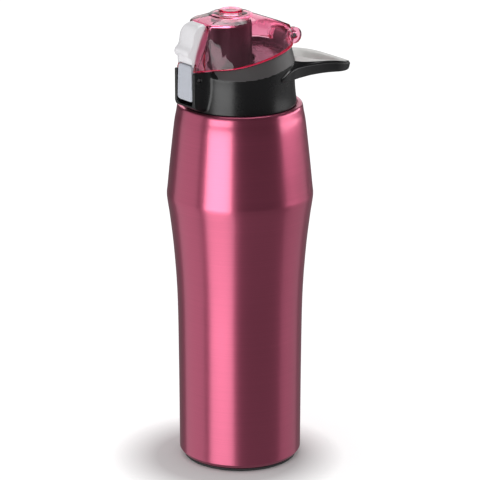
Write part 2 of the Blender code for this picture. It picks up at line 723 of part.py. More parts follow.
# ---------------------------------------------------------------- assembly

def build():
    """Clear the scene and make every piece."""
    for obj in list(bpy.data.objects):
        bpy.data.objects.remove(obj, do_unlink=True)
    painted = material("painted_steel", (0.75, 0.17, 0.32), 0.32, 1.0)
    steel = material("steel", (0.62, 0.62, 0.64), 0.3, 1.0)
    black = material("black_plastic", (0.02, 0.02, 0.022), 0.4)
    rubber = material("black_rubber", (0.025, 0.025, 0.027), 0.8)
    tinted = material("tinted_plastic", (0.85, 0.06, 0.22), 0.08, 0.0, 0.5)
    white = material("white_plastic", (0.8, 0.79, 0.8), 0.35)
    grey = material("grey_plastic", (0.5, 0.52, 0.58), 0.5)
    silicone = material("silicone", (0.72, 0.72, 0.71), 0.55)
    natural = material("natural_plastic", (0.1, 0.1, 0.105), 0.5)
    outer_shell(painted)
    base_cup(painted)
    for make in (inner_flask, vacuum_getter, button_pin, button_spring, hinge_pin, hinge_spring):
        make(steel)
    for make in (collar, carry_loop, spout):
        make(black)
    for make in (neck_seal, spout_o_ring, lid_seal, loop_liner):
        make(silicone)
    foot_pad(rubber)
    threaded_insert(natural)
    flip_lid(tinted)
    thumb_latch(white)
    release_button(grey)


build()
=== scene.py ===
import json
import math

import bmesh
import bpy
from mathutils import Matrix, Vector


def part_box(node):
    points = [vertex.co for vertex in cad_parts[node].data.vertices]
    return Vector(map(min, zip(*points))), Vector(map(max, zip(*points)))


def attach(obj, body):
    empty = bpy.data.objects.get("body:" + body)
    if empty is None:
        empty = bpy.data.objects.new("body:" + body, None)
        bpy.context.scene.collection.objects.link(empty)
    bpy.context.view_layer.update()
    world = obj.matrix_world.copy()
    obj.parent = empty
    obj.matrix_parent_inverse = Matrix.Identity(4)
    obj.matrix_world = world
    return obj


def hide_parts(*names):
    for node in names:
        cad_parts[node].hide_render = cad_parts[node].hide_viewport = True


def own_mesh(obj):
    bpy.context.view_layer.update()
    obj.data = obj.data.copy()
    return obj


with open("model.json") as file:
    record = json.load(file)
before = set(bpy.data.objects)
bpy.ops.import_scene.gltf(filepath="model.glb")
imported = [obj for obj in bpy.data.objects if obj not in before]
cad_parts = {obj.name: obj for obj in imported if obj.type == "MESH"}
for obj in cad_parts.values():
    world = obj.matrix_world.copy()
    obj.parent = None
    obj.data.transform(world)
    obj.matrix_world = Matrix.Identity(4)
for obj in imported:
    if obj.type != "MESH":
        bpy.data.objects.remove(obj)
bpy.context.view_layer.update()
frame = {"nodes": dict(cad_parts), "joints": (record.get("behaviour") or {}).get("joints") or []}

# The looks of a double-walled sports bottle: painted brushed steel, a satin black cap, a clear
# tinted flip lid, a white thumb latch and a finger loop with a soft liner. Lengths are in
# millimetres, in the frame of the CAD model, and become metres when a mesh is made. The camera's
# and the lamps' places are in metres. A profile is a row of (radius, height) corners, and the row
# of radii beside it says how far each corner is rounded.

MM = 0.001
MERGE_DISTANCE = 2e-6  # in metres
SHARP_ANGLE = 32.0  # edges that bend by more than this stay sharp, in degrees
SMALL = 1e-6  # a radius below this is a point on the axis


def cad(node):
    """Lowest and highest corner of a CAD node in millimetres."""
    low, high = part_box(node)
    return low / MM, high / MM


def joint_place(name):
    """A joint's place in millimetres."""
    joint = next(joint for joint in frame["joints"] if joint["name"] == name)
    return tuple(value / MM for value in joint["pos_m"])


# ---- sizes from the frame

RIDGE_RADIUS = cad("outer_shell")[1].x
NECK_TOP = cad("outer_shell")[1].z
FOOT_RADIUS = cad("foot_pad")[1].x
COLLAR_FOOT = cad("collar")[0].z
SPOUT_LOW, SPOUT_HIGH = cad("spout")
SPOUT_Y = (SPOUT_LOW.y + SPOUT_HIGH.y) / 2.0
SPOUT_TOP = SPOUT_HIGH.z
LID_TOP_Z = cad("flip_lid")[1].z
LATCH_HALF = cad("thumb_latch")[1].x
BUTTON_LOW, BUTTON_HIGH = cad("release_button")
LOOP_REACH = cad("carry_loop")[1].y
LID_AXIS = joint_place("lid_hinge")
BUTTON_AXIS = joint_place("button_press")

# Body: (height, radius) of the painted outside.
BODY_STATIONS = (
    (4.5, 36.0), (60.0, 36.3), (100.0, 36.9), (128.0, 38.7), (148.0, 40.9), (157.0, 42.2),
    (162.0, RIDGE_RADIUS), (167.0, 42.2), (182.0, 40.7), (200.0, 38.7), (207.0, 37.8), (211.5, 36.9),
)
BODY_BOTTOM = ((31.0, 2.0), (34.4, 2.0), BODY_STATIONS[0][::-1])
BODY_BOTTOM_ROUND = 1.6
BODY_BOTTOM_INSIDE = ((34.6, 3.2), (31.0, 2.8))
SHELL_WALL = 0.8
LEDGE_Z = 214.9
SHOULDER = (BODY_STATIONS[-1][::-1], (36.2, 216.3), (33.5, 216.4), (33.5, LEDGE_Z))
SHOULDER_RADII = (0, 3.0, 0.7, 0)
NECK_RADIUS = 27.1
NECK_INSIDE = 26.5
LEDGE_INSIDE = 34.2
NECK_ROUND = 0.2
BODY_STEPS = 160
FOOT_PROFILE = (
    (0.0, 0.0), (20.0, 0.0), (20.4, 0.5), (22.6, 0.5), (23.0, 0.0), (FOOT_RADIUS - 0.6, 0.0),
    (FOOT_RADIUS, 0.7), (FOOT_RADIUS, 1.7), (26.4, 1.7), (25.4, 4.1), (0.0, 4.1),
)
FOOT_ROUND = 0.35

# Thread of the neck.
PITCH = 4.0
THREAD_TURNS = 1.25
THREAD_START_Z = 219.5
THREAD_STEPS = 72
THREAD_FADE_STEPS = 10.0  # the ridge rises to its full height over these steps
THREAD_LEAST = 0.04
THREAD_HEIGHT = 1.0
THREAD_ROOT = ((-0.3, -0.6), (-0.3, 0.6))
THREAD_CREST = 0.3  # half width of its crest
THREAD_ROUND = 0.25

# Collar.
PLATE_Z = 234.6
RIM_LOW = 241.0
RIM_HIGH = 250.7
RIM_START_Y = -30.0
RIM_RUN = 55.0
RIM_CURVE = 1.15
RIM_RADIUS = 29.3
COLLAR_WALL = ((32.6, COLLAR_FOOT), (33.0, COLLAR_FOOT + 0.7), (31.9, 224.0), (31.5, 231.5))
CREASE_RADIUS = 31.6
CREASE_START_Y = -31.0
CREASE_RUN = 31.0
BAND_FRONT = 3.5
BAND_BACK = 9.4
BAND_START_Y = -27.0
BAND_TILT_LOW = 0.12  # the band's faces look up by these shares; the band is matte, and its lighter colour paints the sheen of light from above
BAND_TILT_HIGH = 0.75
BAND_INSIDE = 0.3  # how far the band reaches in from the rim, and below the crease
BAND_BELOW = 0.4
DECK_RADIUS = 27.9
DECK_DEPTH = 3.4
DECK_CENTRE = 18.0
RIM_GAP = 0.4
COLLAR_RADII = (0, 0.3, 0.3, 6.0, 3.0, 0.2, 0.2, 0.4, 0.6, 0, 0)
COLLAR_BORE = 30.0
COLLAR_STEPS = 144
COLLAR_VOXEL = 0.5
COLLAR_SMOOTHING = 5
BELOW = COLLAR_FOOT - 5.0  # where cuts from below start
FAR = 20.0  # cuts reach this far to the sides, and this far to the front
FAR_FRONT = 60.0
CUT_PAST = 0.1  # past the knuckle's ends
WELL_RADIUS = 10.8  # hole for the spout, and the seat of its flange
WELL_SEAT_RADIUS = 13.3
WELL_SEAT_Z = 237.7
WELL_STEPS = 74

# Spout.
SPOUT_PROFILE = (
    (7.6, 235.0), (9.0, 235.0), (9.0, 238.0), (12.9, 238.0), (12.9, 239.6), (12.4, 240.4),
    (11.6, SPOUT_TOP - 1.8), (11.2, SPOUT_TOP), (9.5, SPOUT_TOP), (8.6, 250.0),
)
SPOUT_RADII = (0.2, 0.2, 0.2, 0.3, 0.3, 0.6, 1.0, 0.9, 0.8, 4.0)
SPOUT_STEPS = 96

# Button housing: one half of its outline in plan, and its side and front outlines, which trim it.
HOUSING_HALF = 10.0
HOUSING_FRONT = -39.3
HOUSING_BOTTOM = 218.0
HOUSING_PLAN = (
    (0.0, HOUSING_FRONT), (HOUSING_HALF, HOUSING_FRONT), (HOUSING_HALF, -32.2), (12.6, -28.8),
    (10.0, -27.0),
)
HOUSING_PLAN_RADII = (0.0, 1.3, 2.2, 0.0, 0.0)
HOUSING_SIDE = (
    (-20.0, 245.0), (HOUSING_FRONT, 245.0), (HOUSING_FRONT, HOUSING_BOTTOM), (-20.0, HOUSING_BOTTOM),
)
HOUSING_SIDE_RADII = (0.0, 0.0, 5.5, 0.0)
HOUSING_FACE = (
    (-HOUSING_HALF, HOUSING_BOTTOM), (HOUSING_HALF, HOUSING_BOTTOM), (14.0, 222.0), (14.0, 250.0),
    (-14.0, 250.0), (-14.0, 222.0),
)
HOUSING_FACE_RADII = (2.5, 2.5, 0.0, 0.0, 0.0, 0.0)
POCKET = ((-7.6, 262.0), (7.6, 262.0), (7.6, 220.6), (-7.6, 220.6))
POCKET_FRONT = -50.0
POCKET_BACK = -32.0
POCKET_RADII = (0.0, 0.0, 3.0, 3.0)

# Button, its pin and its coil.
BUTTON_TOP_HALF = 6.3
BUTTON_WAIST_Z = 228.0
BUTTON_RADII = (2.0, 2.0, 8.0, 2.8, 2.8, 8.0)
BUTTON_EDGE = 0.8  # rounding of the edge of its face, and of its back
BUTTON_BACK_EDGE = 0.2
BUTTON_FACE_INSET = 1.6
BUTTON_BACK = -35.2
BUTTON_BARREL = 2.4  # radius of the barrel that runs on the pin
BARREL_HALF = 6.0
PIVOT_HOLE = 1.5
PIVOT_RADIUS = 1.2
PIVOT_HALF = 9.6
PIVOT_HOLE_HALF = 12.0
BUTTON_COIL = (2.5, 2.2, 0.3)  # turns, radius and wire's radius
SPRING_Z = 227.5

# Hinge.
KNUCKLE_RADIUS = 4.2
KNUCKLE_LEFT = -6.3
KNUCKLE_RIGHT = 3.0
KNUCKLE_ARC = (-20.0, 200.0)  # start and sweep of its round back, in degrees
KNUCKLE_STEPS = 24
KNUCKLE_ROOT = ((27.6, 240.0), (30.6, 242.0))
KNUCKLE_HEEL = (0.8, -5.2)  # share of the radius behind the axis, and height from it
EAR_RADIUS = 4.8
EAR_INNER = 6.9
EAR_OUTER = 9.9
EAR_ROOM = 0.5
EAR_GAP = 0.4
SIDE_GAP = 0.3
PIN_HOLE = 1.95
PIN_RADIUS = 1.65
PIN_HALF = 9.4
HINGE_COIL = (3.5, 2.6, 0.35)
HINGE_COIL_TAILS = (-3.4, -2.9)  # y of the straight ends, from the axis
COIL_STEPS = 36  # steps for each turn of a coil
ROD_STEPS = 48
ROD_ROUND = 0.4
WIRE_SIDES = 12

# Lid: matching corners of its lower edge and of the edge of its top, front to back.
LID_WALL = 1.8
LID_RADIUS = 30.6
LID_SWELL = 1.3
NOTCH_HALF = 7.3
LID_EDGE = 1.0  # height of the lower edge, whose deeper, less clear red paints the colour that light takes on through the thick plastic
LID_LOW = (
    (0.0, -31.7), (NOTCH_HALF, -31.7), (NOTCH_HALF, -38.3), (8.4, -38.2), (12.0, -28.3), (17.0, -25.4),
)
LID_LOW_RADII = (0.0, 0.5, 0.5, 0.8, 2.0, 2.0)
LID_LOW_BACK = (9.8, 29.0)
ROUND_FROM_Y = LID_LOW[-1][1] + 1.0  # the lower edge follows the collar's circle from here
LID_TOP = (
    (0.0, -28.45, 267.3), (NOTCH_HALF, -28.45, 267.3), (7.35, -28.6, 267.3), (7.6, -28.65, 267.3),
    (9.8, -28.1, 267.3), (15.4, -21.0, 267.0), (17.4, -13.0, 266.3), (17.2, -5.0, 266.3),
    (15.0, 2.5, 267.3), (11.6, 9.5, 266.8), (10.0, 17.0, 264.6), (9.8, 29.0, 259.8), (0.0, 29.0, 260.2),
)
LID_TOP_RADII = (0.0, 0.3, 0.1, 0.1, 1.4, 3.0)
LID_SIDE_ROUND = 9.0  # for the corners along the sides, and for the last corner at the back
LID_BACK_ROUND = 1.6
BOSS_PROFILE = (
    (0.0, 271.7), (3.1, 271.7), (3.5, 271.95), (5.9, LID_TOP_Z), (6.5, 271.8), (7.2, 270.9),
    (9.3, 270.4), (10.1, 270.1), (12.2, 269.7), (12.8, 268.9),
)
BOSS_ROUND = 0.4
CEILING_PROFILE = ((9.3, 268.6), (6.5, 268.6), (6.2, 270.1), (0.0, 270.1))
CEILING_RADII = (1.0, 0.3, 0.3, 0.0)
LID_SKIN_RADII = (1.0, 30.0, 0.45, 0.45, 30.0, 1.2)

# Gasket under the boss, from its centre outwards and back.
GASKET_LOW = SPOUT_TOP - 0.5
GASKET_FACE = SPOUT_TOP + 0.3
GASKET_PROFILE = (
    (0.0, GASKET_LOW), (6.6, GASKET_LOW), (7.2, GASKET_FACE), (10.8, GASKET_FACE),
    (11.2, GASKET_FACE + 0.4), (10.9, GASKET_FACE + 1.2), (6.0, GASKET_FACE + 1.2),
    (5.6, GASKET_FACE + 2.5), (0.0, GASKET_FACE + 2.5),
)
GASKET_ROUND = 0.3
GASKET_STEPS = 72

# Thumb latch: (y, z) of its side outline, and the roundings of its ends.
LATCH_SIDE = (
    (-29.4, 267.3), (-33.8, 266.6), (-36.1, 262.4), (-36.8, 256.6), (-37.8, 254.2), (-39.8, 252.6),
    (-40.3, 251.2), (-39.5, 249.6), (-38.0, 248.6), (-37.7, 244.4), (-35.0, 244.4), (-33.6, 243.4),
    (-33.6, 239.3), (-32.5, 239.3), (-32.4, 246.0), (-28.9, 262.0), (-28.9, 266.8),
)
LATCH_RADII = (0.8, 2.2, 2.6, 3.0, 2.0, 1.2, 0.9, 1.2, 1.0, 0.5, 0.8, 0.4, 0.3, 0.3, 2.0, 1.0, 0.3)
LATCH_EDGE = 0.9
LATCH_CORNER = 1.8  # of the upper corners, which fade out below the top
LATCH_FADE_Z = 258.0
LATCH_FADE_RUN = 9.0
LATCH_FADE_POWER = 1.5
LATCH_SHRINK = 0.98  # share of the rounding that draws the outline in
LATCH_STEPS = 40
LATCH_SHARP = 50.0

# Finger loop.
LOOP_CENTRE_Y = 55.0
LOOP_POWER = 0.95
ARM_SHARE = 0.7  # sine of the turn at which an arm's tip is reached
LOOP_ARM = (  # (y, half width) of the outer edge, from the arms' tips to the round end
    (7.0, 32.0), (9.0, 31.7), (13.5, 30.4), (18.5, 27.6), (25.0, 24.7), (34.0, 22.4),
    (46.0, 20.9), (55.0, 20.5),
)
LIP_ARM = ((14.0, 19.5), (22.0, 20.6), (30.0, 21.2), (38.0, 20.8), (46.0, 20.0), (LOOP_CENTRE_Y, 19.6))
LIP_REACH = LOOP_REACH - 1.2
HOLE_HALF = 14.8
HOLE_HALF_LENGTH = 14.0
LOOP_DISH = 0.8
LOOP_BEVEL = 0.6
LOOP_TUCK = 0.8
LOOP_TOP = (  # (y, height) of the upper face, the outer ridge and the underside
    (14.0, 244.5), (20.0, 242.6), (25.0, 241.1), (31.0, 239.9), (42.0, 238.5), (52.0, 237.3),
    (60.0, 235.8), (67.0, 234.1), (LOOP_REACH, 231.4),
)
LOOP_RIDGE = (
    (7.0, 235.3), (9.0, 236.1), (13.5, 238.0), (18.5, 238.5), (25.0, 238.4), (34.0, 237.9),
    (46.0, 237.1), (55.0, 236.0), (62.0, 234.6), (69.0, 232.8), (LOOP_REACH, 230.7),
)
LOOP_BOTTOM = (
    (7.0, 232.9), (18.5, 232.0), (26.0, 231.5), (34.0, 231.3), (46.0, 230.6), (60.0, 229.1),
    (LOOP_REACH, 227.4),
)
LOOP_RADII = (0.3, 0.2, 0.25, 0.5, 0.5, 1.6, 1.0)
LINER_SKIN = 0.85
LINER_GAP = 0.15
LINER_SEAT = LINER_SKIN + 0.6
LINER_END = (0.6, 0.9)  # height of its lower end above the underside, at the skin's two faces
LINER_RADII = (0.2, 0.6, 2.2, 0.3, 0.2, 0.8)
LOOP_STEPS = 144
COLLAR_ROOM = (  # the space of the collar, with the gap that the loop keeps from it
    (0.0, 200.0), (33.4, 200.0), (33.4, 216.4), (32.2, 224.0), (31.8, 231.5), (31.7, 236.0),
    (31.7, 243.2), (30.5, 250.0), (0.0, 250.0),
)

# Camera and studio, in metres and degrees. The lens and its sensor are in millimetres.
TARGET = (0.0, 0.0, 0.1325)
CAMERA_DISTANCE = 1.6417
CAMERA_AZIMUTH = 54.0
CAMERA_ELEVATION = 17.8
CAMERA_LENS = 210.0
SENSOR_WIDTH = 36.0
LAMP_TARGET = (0.0, 0.0, 0.14)
WORLD_STRENGTH = 0.95
MIRRORED_BELOW = 0.175  # strength of the world in reflections, from below and from above
MIRRORED_ABOVE = 0.065
MIRRORED_FROM = -0.3
FLOOR_GREY = 0.6
# centre of the painted shadow on the floor, a little to the front left of the bottle
PAINTED_SHADOW_CENTRE = (0.002, -0.0105, 0.0)
PAINTED_SHADOW_RADII = (0.042, 0.07)  # radii of the painted shadow, between which the floor's glow rises to FLOOR_GLOW
FLOOR_GLOW = 0.5
FLOOR_HALF = 3000.0  # in millimetres, like FLOOR_Z
FLOOR_Z = -0.05
LAMPS = (  # name, azimuth, elevation, distance, width, height, radiance, only shine
    ("key_low", 19.5, -34.0, 1.1, 0.84, 0.8, 0.95, False),
    ("key_high", 19.5, -1.5, 1.1, 0.84, 0.46, 3.2, False),
    ("left_box", -42.0, -4.0, 1.2, 1.2, 1.7, 0.41, False),
    ("right_low", 160.0, -26.0, 1.2, 1.0, 0.8, 0.2, True),
    ("right_high", 160.0, 8.0, 1.2, 1.5, 0.36, 2.3, True),
    ("back_box", 234.0, 22.0, 1.3, 1.3, 0.8, 0.95, True),
    ("back_high", 230.0, 58.0, 1.3, 0.9, 0.7, 3.0, True),
    ("top_box", 234.0, 78.0, 1.2, 0.8, 0.6, 3.0, True),
)


# ---- mesh helpers

def shade(mesh, sharp=SHARP_ANGLE):
    """Shade a mesh smoothly, with its sharper edges kept."""
    mesh.shade_smooth()
    mesh.set_sharp_from_angle(angle=math.radians(sharp))


def make_piece(name, points, faces, material=None, sharp=SHARP_ANGLE):
    """Make one mesh object from points in millimetres."""
    mesh = bpy.data.meshes.new(name)
    mesh.from_pydata([Vector(p) * MM for p in points], [], faces)
    clean = bmesh.new()
    clean.from_mesh(mesh)
    bmesh.ops.remove_doubles(clean, verts=clean.verts, dist=MERGE_DISTANCE)
    bmesh.ops.recalc_face_normals(clean, faces=clean.faces)
    clean.to_mesh(mesh)
    clean.free()
    if material is not None:
        mesh.materials.append(material)
    shade(mesh, sharp)
    piece = bpy.data.objects.new(name, mesh)
    bpy.context.scene.collection.objects.link(piece)
    return piece


def place(piece, body, slot, *nodes):
    """Let a piece ride on a body, in place of CAD nodes."""
    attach(piece, body)
    if nodes:
        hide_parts(*nodes)


def add(name, shape, material, body, slot, *nodes, sharp=SHARP_ANGLE):
    """Make a piece that needs no cuts, and let it ride on a body."""
    piece = make_piece(name, *shape, material, sharp)
    place(piece, body, slot, *nodes)
    return piece


def loft(rings, closed=False):
    """Join rings of points into a skin. A ring of one point closes an end."""
    points = []
    starts = []
    for ring in rings:
        starts.append(len(points))
        points.extend(ring)
    faces = []
    last = len(rings) - 1
    pairs = [(k, k + 1) for k in range(last)] + [(last, 0)] * closed
    for low, high in pairs:
        a, b = rings[low], rings[high]
        count = max(len(a), len(b))
        for i in range(count):
            j = (i + 1) % count
            if len(a) == 1:
                faces.append((starts[low], starts[high] + i, starts[high] + j))
            elif len(b) == 1:
                faces.append((starts[low] + i, starts[high], starts[low] + j))
            else:
                faces.append((starts[low] + i, starts[high] + i, starts[high] + j, starts[low] + j))
    return points, faces


def capped(rings):
    """Join rings of points into a skin, with a flat face at each end."""
    points, faces = loft(rings)
    count = len(rings[0])
    faces.append(tuple(range(count)))
    faces.append(tuple(range(len(points) - 1, len(points) - count - 1, -1)))
    return points, faces


def rounded_path(points, radii, steps=4, closed=False):
    """Round the corners of a path. Each rounded corner becomes steps + 1 points."""
    longest = 0.45  # share of a side that one rounding may take
    corners = [Vector(p) for p in points]
    count = len(corners)
    path = []
    for i, corner in enumerate(corners):
        radius = radii[i] if isinstance(radii, (list, tuple)) else radii
        if radius == 0.0 or (not closed and i in (0, count - 1)):
            path.append(corner)
            continue
        before = corners[i - 1] - corner
        after = corners[(i + 1) % count] - corner
        start = corner + before.normalized() * min(radius, longest * before.length)
        end = corner + after.normalized() * min(radius, longest * after.length)
        for k in range(steps + 1):
            t = k / steps
            path.append(start.lerp(corner, t).lerp(corner.lerp(end, t), t))
    return path


def spline(stations, steps):
    """A smooth curve through points, with a number of steps between each pair."""
    knots = [Vector(p) for p in stations]
    curve = [knots[0]]
    for i in range(len(knots) - 1):
        a, b = knots[i], knots[i + 1]
        before = knots[i - 1] if i > 0 else a * 2.0 - b
        after = knots[i + 2] if i + 2 < len(knots) else b * 2.0 - a
        for k in range(1, steps + 1):
            t = k / steps
            curve.append(0.5 * (
                2.0 * a + (b - before) * t + (2.0 * before - 5.0 * a + 4.0 * b - after) * t * t
                + (3.0 * a - before - 3.0 * b + after) * t ** 3
            ))
    return curve


def turned(profile, steps, centre=(0.0, 0.0)):
    """Turn an outline of (radius, height) about a vertical axis."""
    rings = []
    for radius, height in profile:
        ring = []
        for i in range(steps if radius > SMALL else 1):
            turn = math.tau * i / steps
            ring.append((centre[0] + radius * math.cos(turn), centre[1] + radius * math.sin(turn), height))
        rings.append(ring)
    return loft(rings, closed=profile[0][0] > SMALL)


def extruded(outline, axis, low, high):
    """Push a flat outline along an axis. The outline holds the other two coordinates."""
    return capped([[(*p[:axis], depth, *p[axis:]) for p in outline] for depth in (low, high)])


def circle(centre, radius, steps):
    """Points of a circle in a plane."""
    turn = [math.tau * (i + 0.5) / steps for i in range(steps)]
    return [(centre[0] + radius * math.cos(t), centre[1] + radius * math.sin(t)) for t in turn]


def tube(route, radius, sides):
    """A round tube with flat ends along a route of points."""
    rings = [[tuple(route[0])]]
    side = Vector((1.0, 0.0, 0.0))
    last = len(route) - 1
    for i, point in enumerate(route):
        ahead = Vector(route[min(i + 1, last)]) - Vector(route[max(i - 1, 0)])
        ahead.normalize()
        side = (side - ahead * side.dot(ahead)).normalized()
        up = ahead.cross(side)
        ring = []
        for k in range(sides):
            turn = math.tau * k / sides
            ring.append(tuple(Vector(point) + radius * (math.cos(turn) * side + math.sin(turn) * up)))
        rings.append(ring)
    rings.append([tuple(route[-1])])
    return loft(rings)


def cut(piece, operation, points, faces):
    """Combine a piece with a solid, and keep the result in its mesh."""
    guide = make_piece("guide", points, faces)
    change = piece.modifiers.new("cut", "BOOLEAN")
    change.operation = operation
    change.solver = "EXACT"
    change.object = guide
    settle(piece)
    bpy.data.objects.remove(guide, do_unlink=True)


def drill(piece, axis, radius, steps, low, high):
    """Cut a round hole along X, about the place of an axis."""
    cut(piece, "DIFFERENCE", *extruded(circle(axis[1:], radius, steps), 0, low, high))


def settle(piece):
    """Keep the result of a piece's modifiers in its mesh."""
    graph = bpy.context.evaluated_depsgraph_get()
    graph.update()
    mesh = bpy.data.meshes.new_from_object(piece.evaluated_get(graph))
    piece.modifiers.clear()
    piece.data = mesh


def soften(piece, voxel, rounds, sharp=40.0):
    """Melt a piece's edges, as on a moulding, by an even remesh and smoothing."""
    melt = piece.modifiers.new("melt", "REMESH")
    melt.mode = "VOXEL"
    melt.voxel_size = voxel * MM
    melt.adaptivity = 0.0
    ease = piece.modifiers.new("ease", "SMOOTH")
    ease.factor = 0.5
    ease.iterations = rounds
    settle(piece)
    shade(piece.data, sharp)


def paint(piece, *materials):
    """Give a piece its materials, in place of any it has."""
    piece.data.materials.clear()
    for material in materials:
        piece.data.materials.append(material)


def inset(outline, distance, drop=0.0):
    """Move a closed outline inwards in plan, and down."""
    moved = []
    count = len(outline)
    for i, point in enumerate(outline):
        before, after = outline[i - 1], outline[(i + 1) % count]
        along = Vector((after[0] - before[0], after[1] - before[1]))
        along.normalize()
        moved.append(Vector((point[0] - along.y * distance, point[1] + along.x * distance, point[2] - drop)))
    return moved


def between(stations, at):
    """Read a value from (place, value) stations on a smooth curve."""
    if at <= stations[0][0]:
        return stations[0][1]
    for i in range(len(stations) - 1):
        (a, low), (b, high) = stations[i], stations[i + 1]
        if at > b:
            continue
        before = stations[max(i - 1, 0)]
        after = stations[min(i + 2, len(stations) - 1)]
        slope_a = (high - before[1]) / (b - before[0])
        slope_b = (after[1] - low) / (after[0] - a)
        t = (at - a) / (b - a)
        width = b - a
        return (
            low * (1.0 + 2.0 * t) * (1.0 - t) ** 2 + slope_a * width * t * (1.0 - t) ** 2
            + high * t * t * (3.0 - 2.0 * t) + slope_b * width * t * t * (t - 1.0)
        )
    return stations[-1][1]


# ---- material helpers

def fill(node, **values):
    """Set a node's inputs by their names, with _ for each space."""
    for name, value in values.items():
        node.inputs[name.replace("_", " ")].default_value = value


class Finish:
    """A Principled material under construction."""

    def __init__(self, name, colour, roughness, metallic=0.0, **sockets):
        self.material = bpy.data.materials.new(name)
        self.material.use_nodes = True
        self.tree = self.material.node_tree
        self.shader = self.tree.nodes["Principled BSDF"]
        self.output = self.tree.nodes["Material Output"]
        self.colour = colour
        fill(self.shader, Base_Color=(*colour, 1.0), Roughness=roughness, Metallic=metallic, **sockets)

    def node(self, kind, **settings):
        """Add a node and set its properties."""
        node = self.tree.nodes.new(kind)
        for name, value in settings.items():
            setattr(node, name, value)
        return node

    def link(self, source, target):
        """Join two sockets."""
        self.tree.links.new(source, target)

    def noise(self, scale, detail=3.0, stretch=(1.0, 1.0, 1.0)):
        """A noise value over the object's own space. The scale is in waves for each metre."""
        where = self.node("ShaderNodeTexCoord")
        mapping = self.node("ShaderNodeMapping")
        fill(mapping, Scale=tuple(scale * s for s in stretch))
        texture = self.node("ShaderNodeTexNoise")
        fill(texture, Scale=1.0, Detail=detail)
        self.link(where.outputs["Object"], mapping.inputs["Vector"])
        self.link(mapping.outputs["Vector"], texture.inputs["Vector"])
        return texture.outputs["Fac"]

    def ramp(self, value, low, high, start=0.0, end=1.0):
        """Read a value onto a new range."""
        spread = self.node("ShaderNodeMapRange")
        fill(spread, From_Min=start, From_Max=end, To_Min=low, To_Max=high)
        self.link(value, spread.inputs["Value"])
        return spread.outputs["Result"]

    def tint(self, value, low, high, start=0.35, end=0.65):
        """Let the base colour run between two shares of itself."""
        mix = self.node("ShaderNodeMix", data_type="RGBA")
        colours = [s for s in mix.inputs if s.type == "RGBA"]
        colours[0].default_value = (*[c * low for c in self.colour], 1.0)
        colours[1].default_value = (*[min(1.0, c * high) for c in self.colour], 1.0)
        self.link(self.ramp(value, 0.0, 1.0, start, end), mix.inputs["Factor"])
        result = [s for s in mix.outputs if s.type == "RGBA"][0]
        self.link(result, self.shader.inputs["Base Color"])

    def rough(self, value, low, high, start=0.3, end=0.7):
        """Let the roughness follow a value."""
        self.link(self.ramp(value, low, high, start, end), self.shader.inputs["Roughness"])

    def bump(self, value, strength, depth):
        """Raise the surface by a value, with a depth in millimetres."""
        bump = self.node("ShaderNodeBump")
        fill(bump, Strength=strength, Distance=depth * MM)
        self.link(value, bump.inputs["Height"])
        self.link(bump.outputs["Normal"], self.shader.inputs["Normal"])

    def wear(self, cloud, shares, spread, grain, strength, depth):
        """Let colour and roughness follow one value, and the bump another. Gives the material."""
        roughness = self.shader.inputs["Roughness"].default_value
        self.tint(cloud, *shares)
        self.rough(cloud, roughness + spread[0], roughness + spread[1])
        self.bump(grain, strength, depth)
        return self.material


def painted_steel():
    """Clear pink lacquer over steel that was brushed round the body."""
    finish = Finish(
        "painted_steel", (0.75, 0.165, 0.285), 0.3, 1.0, Anisotropic=0.55, Anisotropic_Rotation=0.25,
        Coat_Weight=0.5, Coat_Roughness=0.12, Coat_Tint=(1.0, 0.9, 0.94, 1.0))
    tangent = finish.node("ShaderNodeTangent", direction_type="RADIAL", axis="Z")
    finish.link(tangent.outputs["Tangent"], finish.shader.inputs["Tangent"])
    brushing = finish.noise(1.0, 2.0, (10.0, 10.0, 4200.0))
    return finish.wear(brushing, (0.97, 1.02), (-0.02, 0.03), brushing, 0.04, 0.007)


def moulded_plastic(name, colour, roughness, grain=0.06, **sockets):
    """Moulded plastic with a fine grain and faint flow marks."""
    finish = Finish(name, colour, roughness, **sockets)
    flow = finish.noise(45.0, 3.0)
    return finish.wear(flow, (0.93, 1.06), (-0.03, 0.04), finish.noise(2600.0, 2.0), grain, 0.03)


def speckled_plastic(name, colour, roughness):
    """Grey plastic with fine darker and lighter specks."""
    finish = Finish(name, colour, roughness)
    specks = finish.noise(1900.0, 2.0)
    return finish.wear(specks, (0.8, 1.16, 0.38, 0.62), (-0.05, 0.08), specks, 0.1, 0.04)


def soft_rubber(name, colour, roughness, **sockets):
    """Rubber with a dusty, uneven sheen."""
    finish = Finish(name, colour, roughness, **sockets)
    cloud = finish.noise(120.0, 4.0)
    return finish.wear(cloud, (0.92, 1.05), (-0.06, 0.06), finish.noise(1500.0, 2.0), 0.08, 0.05)


def plain_steel(name, colour, roughness):
    """Bright steel with drawn lines along its turning."""
    finish = Finish(name, colour, roughness, 1.0)
    lines = finish.noise(1.0, 4.0, (60.0, 60.0, 2600.0))
    return finish.wear(lines, (0.9, 1.06), (-0.06, 0.08), lines, 0.08, 0.02)


def clear_tint(name, roughness):
    """Clear pink plastic, which deepens with its thickness. Lamps reach what is behind it."""
    finish = Finish(name, (1.0, 0.97, 0.98), roughness, Transmission_Weight=1.0, IOR=1.49)
    finish.rough(finish.noise(90.0, 3.0), roughness, roughness + 0.035)
    finish.bump(finish.noise(140.0, 2.0), 0.02, 0.06)
    path = finish.node("ShaderNodeLightPath")
    window = finish.node("ShaderNodeBsdfTransparent")
    fill(window, Color=(1.0, 0.86, 0.9, 1.0))
    mix = finish.node("ShaderNodeMixShader")
    finish.link(path.outputs["Is Shadow Ray"], mix.inputs[0])
    finish.link(finish.shader.outputs["BSDF"], mix.inputs[1])
    finish.link(window.outputs["BSDF"], mix.inputs[2])
    finish.link(mix.outputs["Shader"], finish.output.inputs["Surface"])
    absorb = finish.node("ShaderNodeVolumeAbsorption")
    fill(absorb, Color=(0.865, 0.03, 0.34, 1.0), Density=310.0)
    finish.link(absorb.outputs["Volume"], finish.output.inputs["Volume"])
    return finish.material


# ---- flask

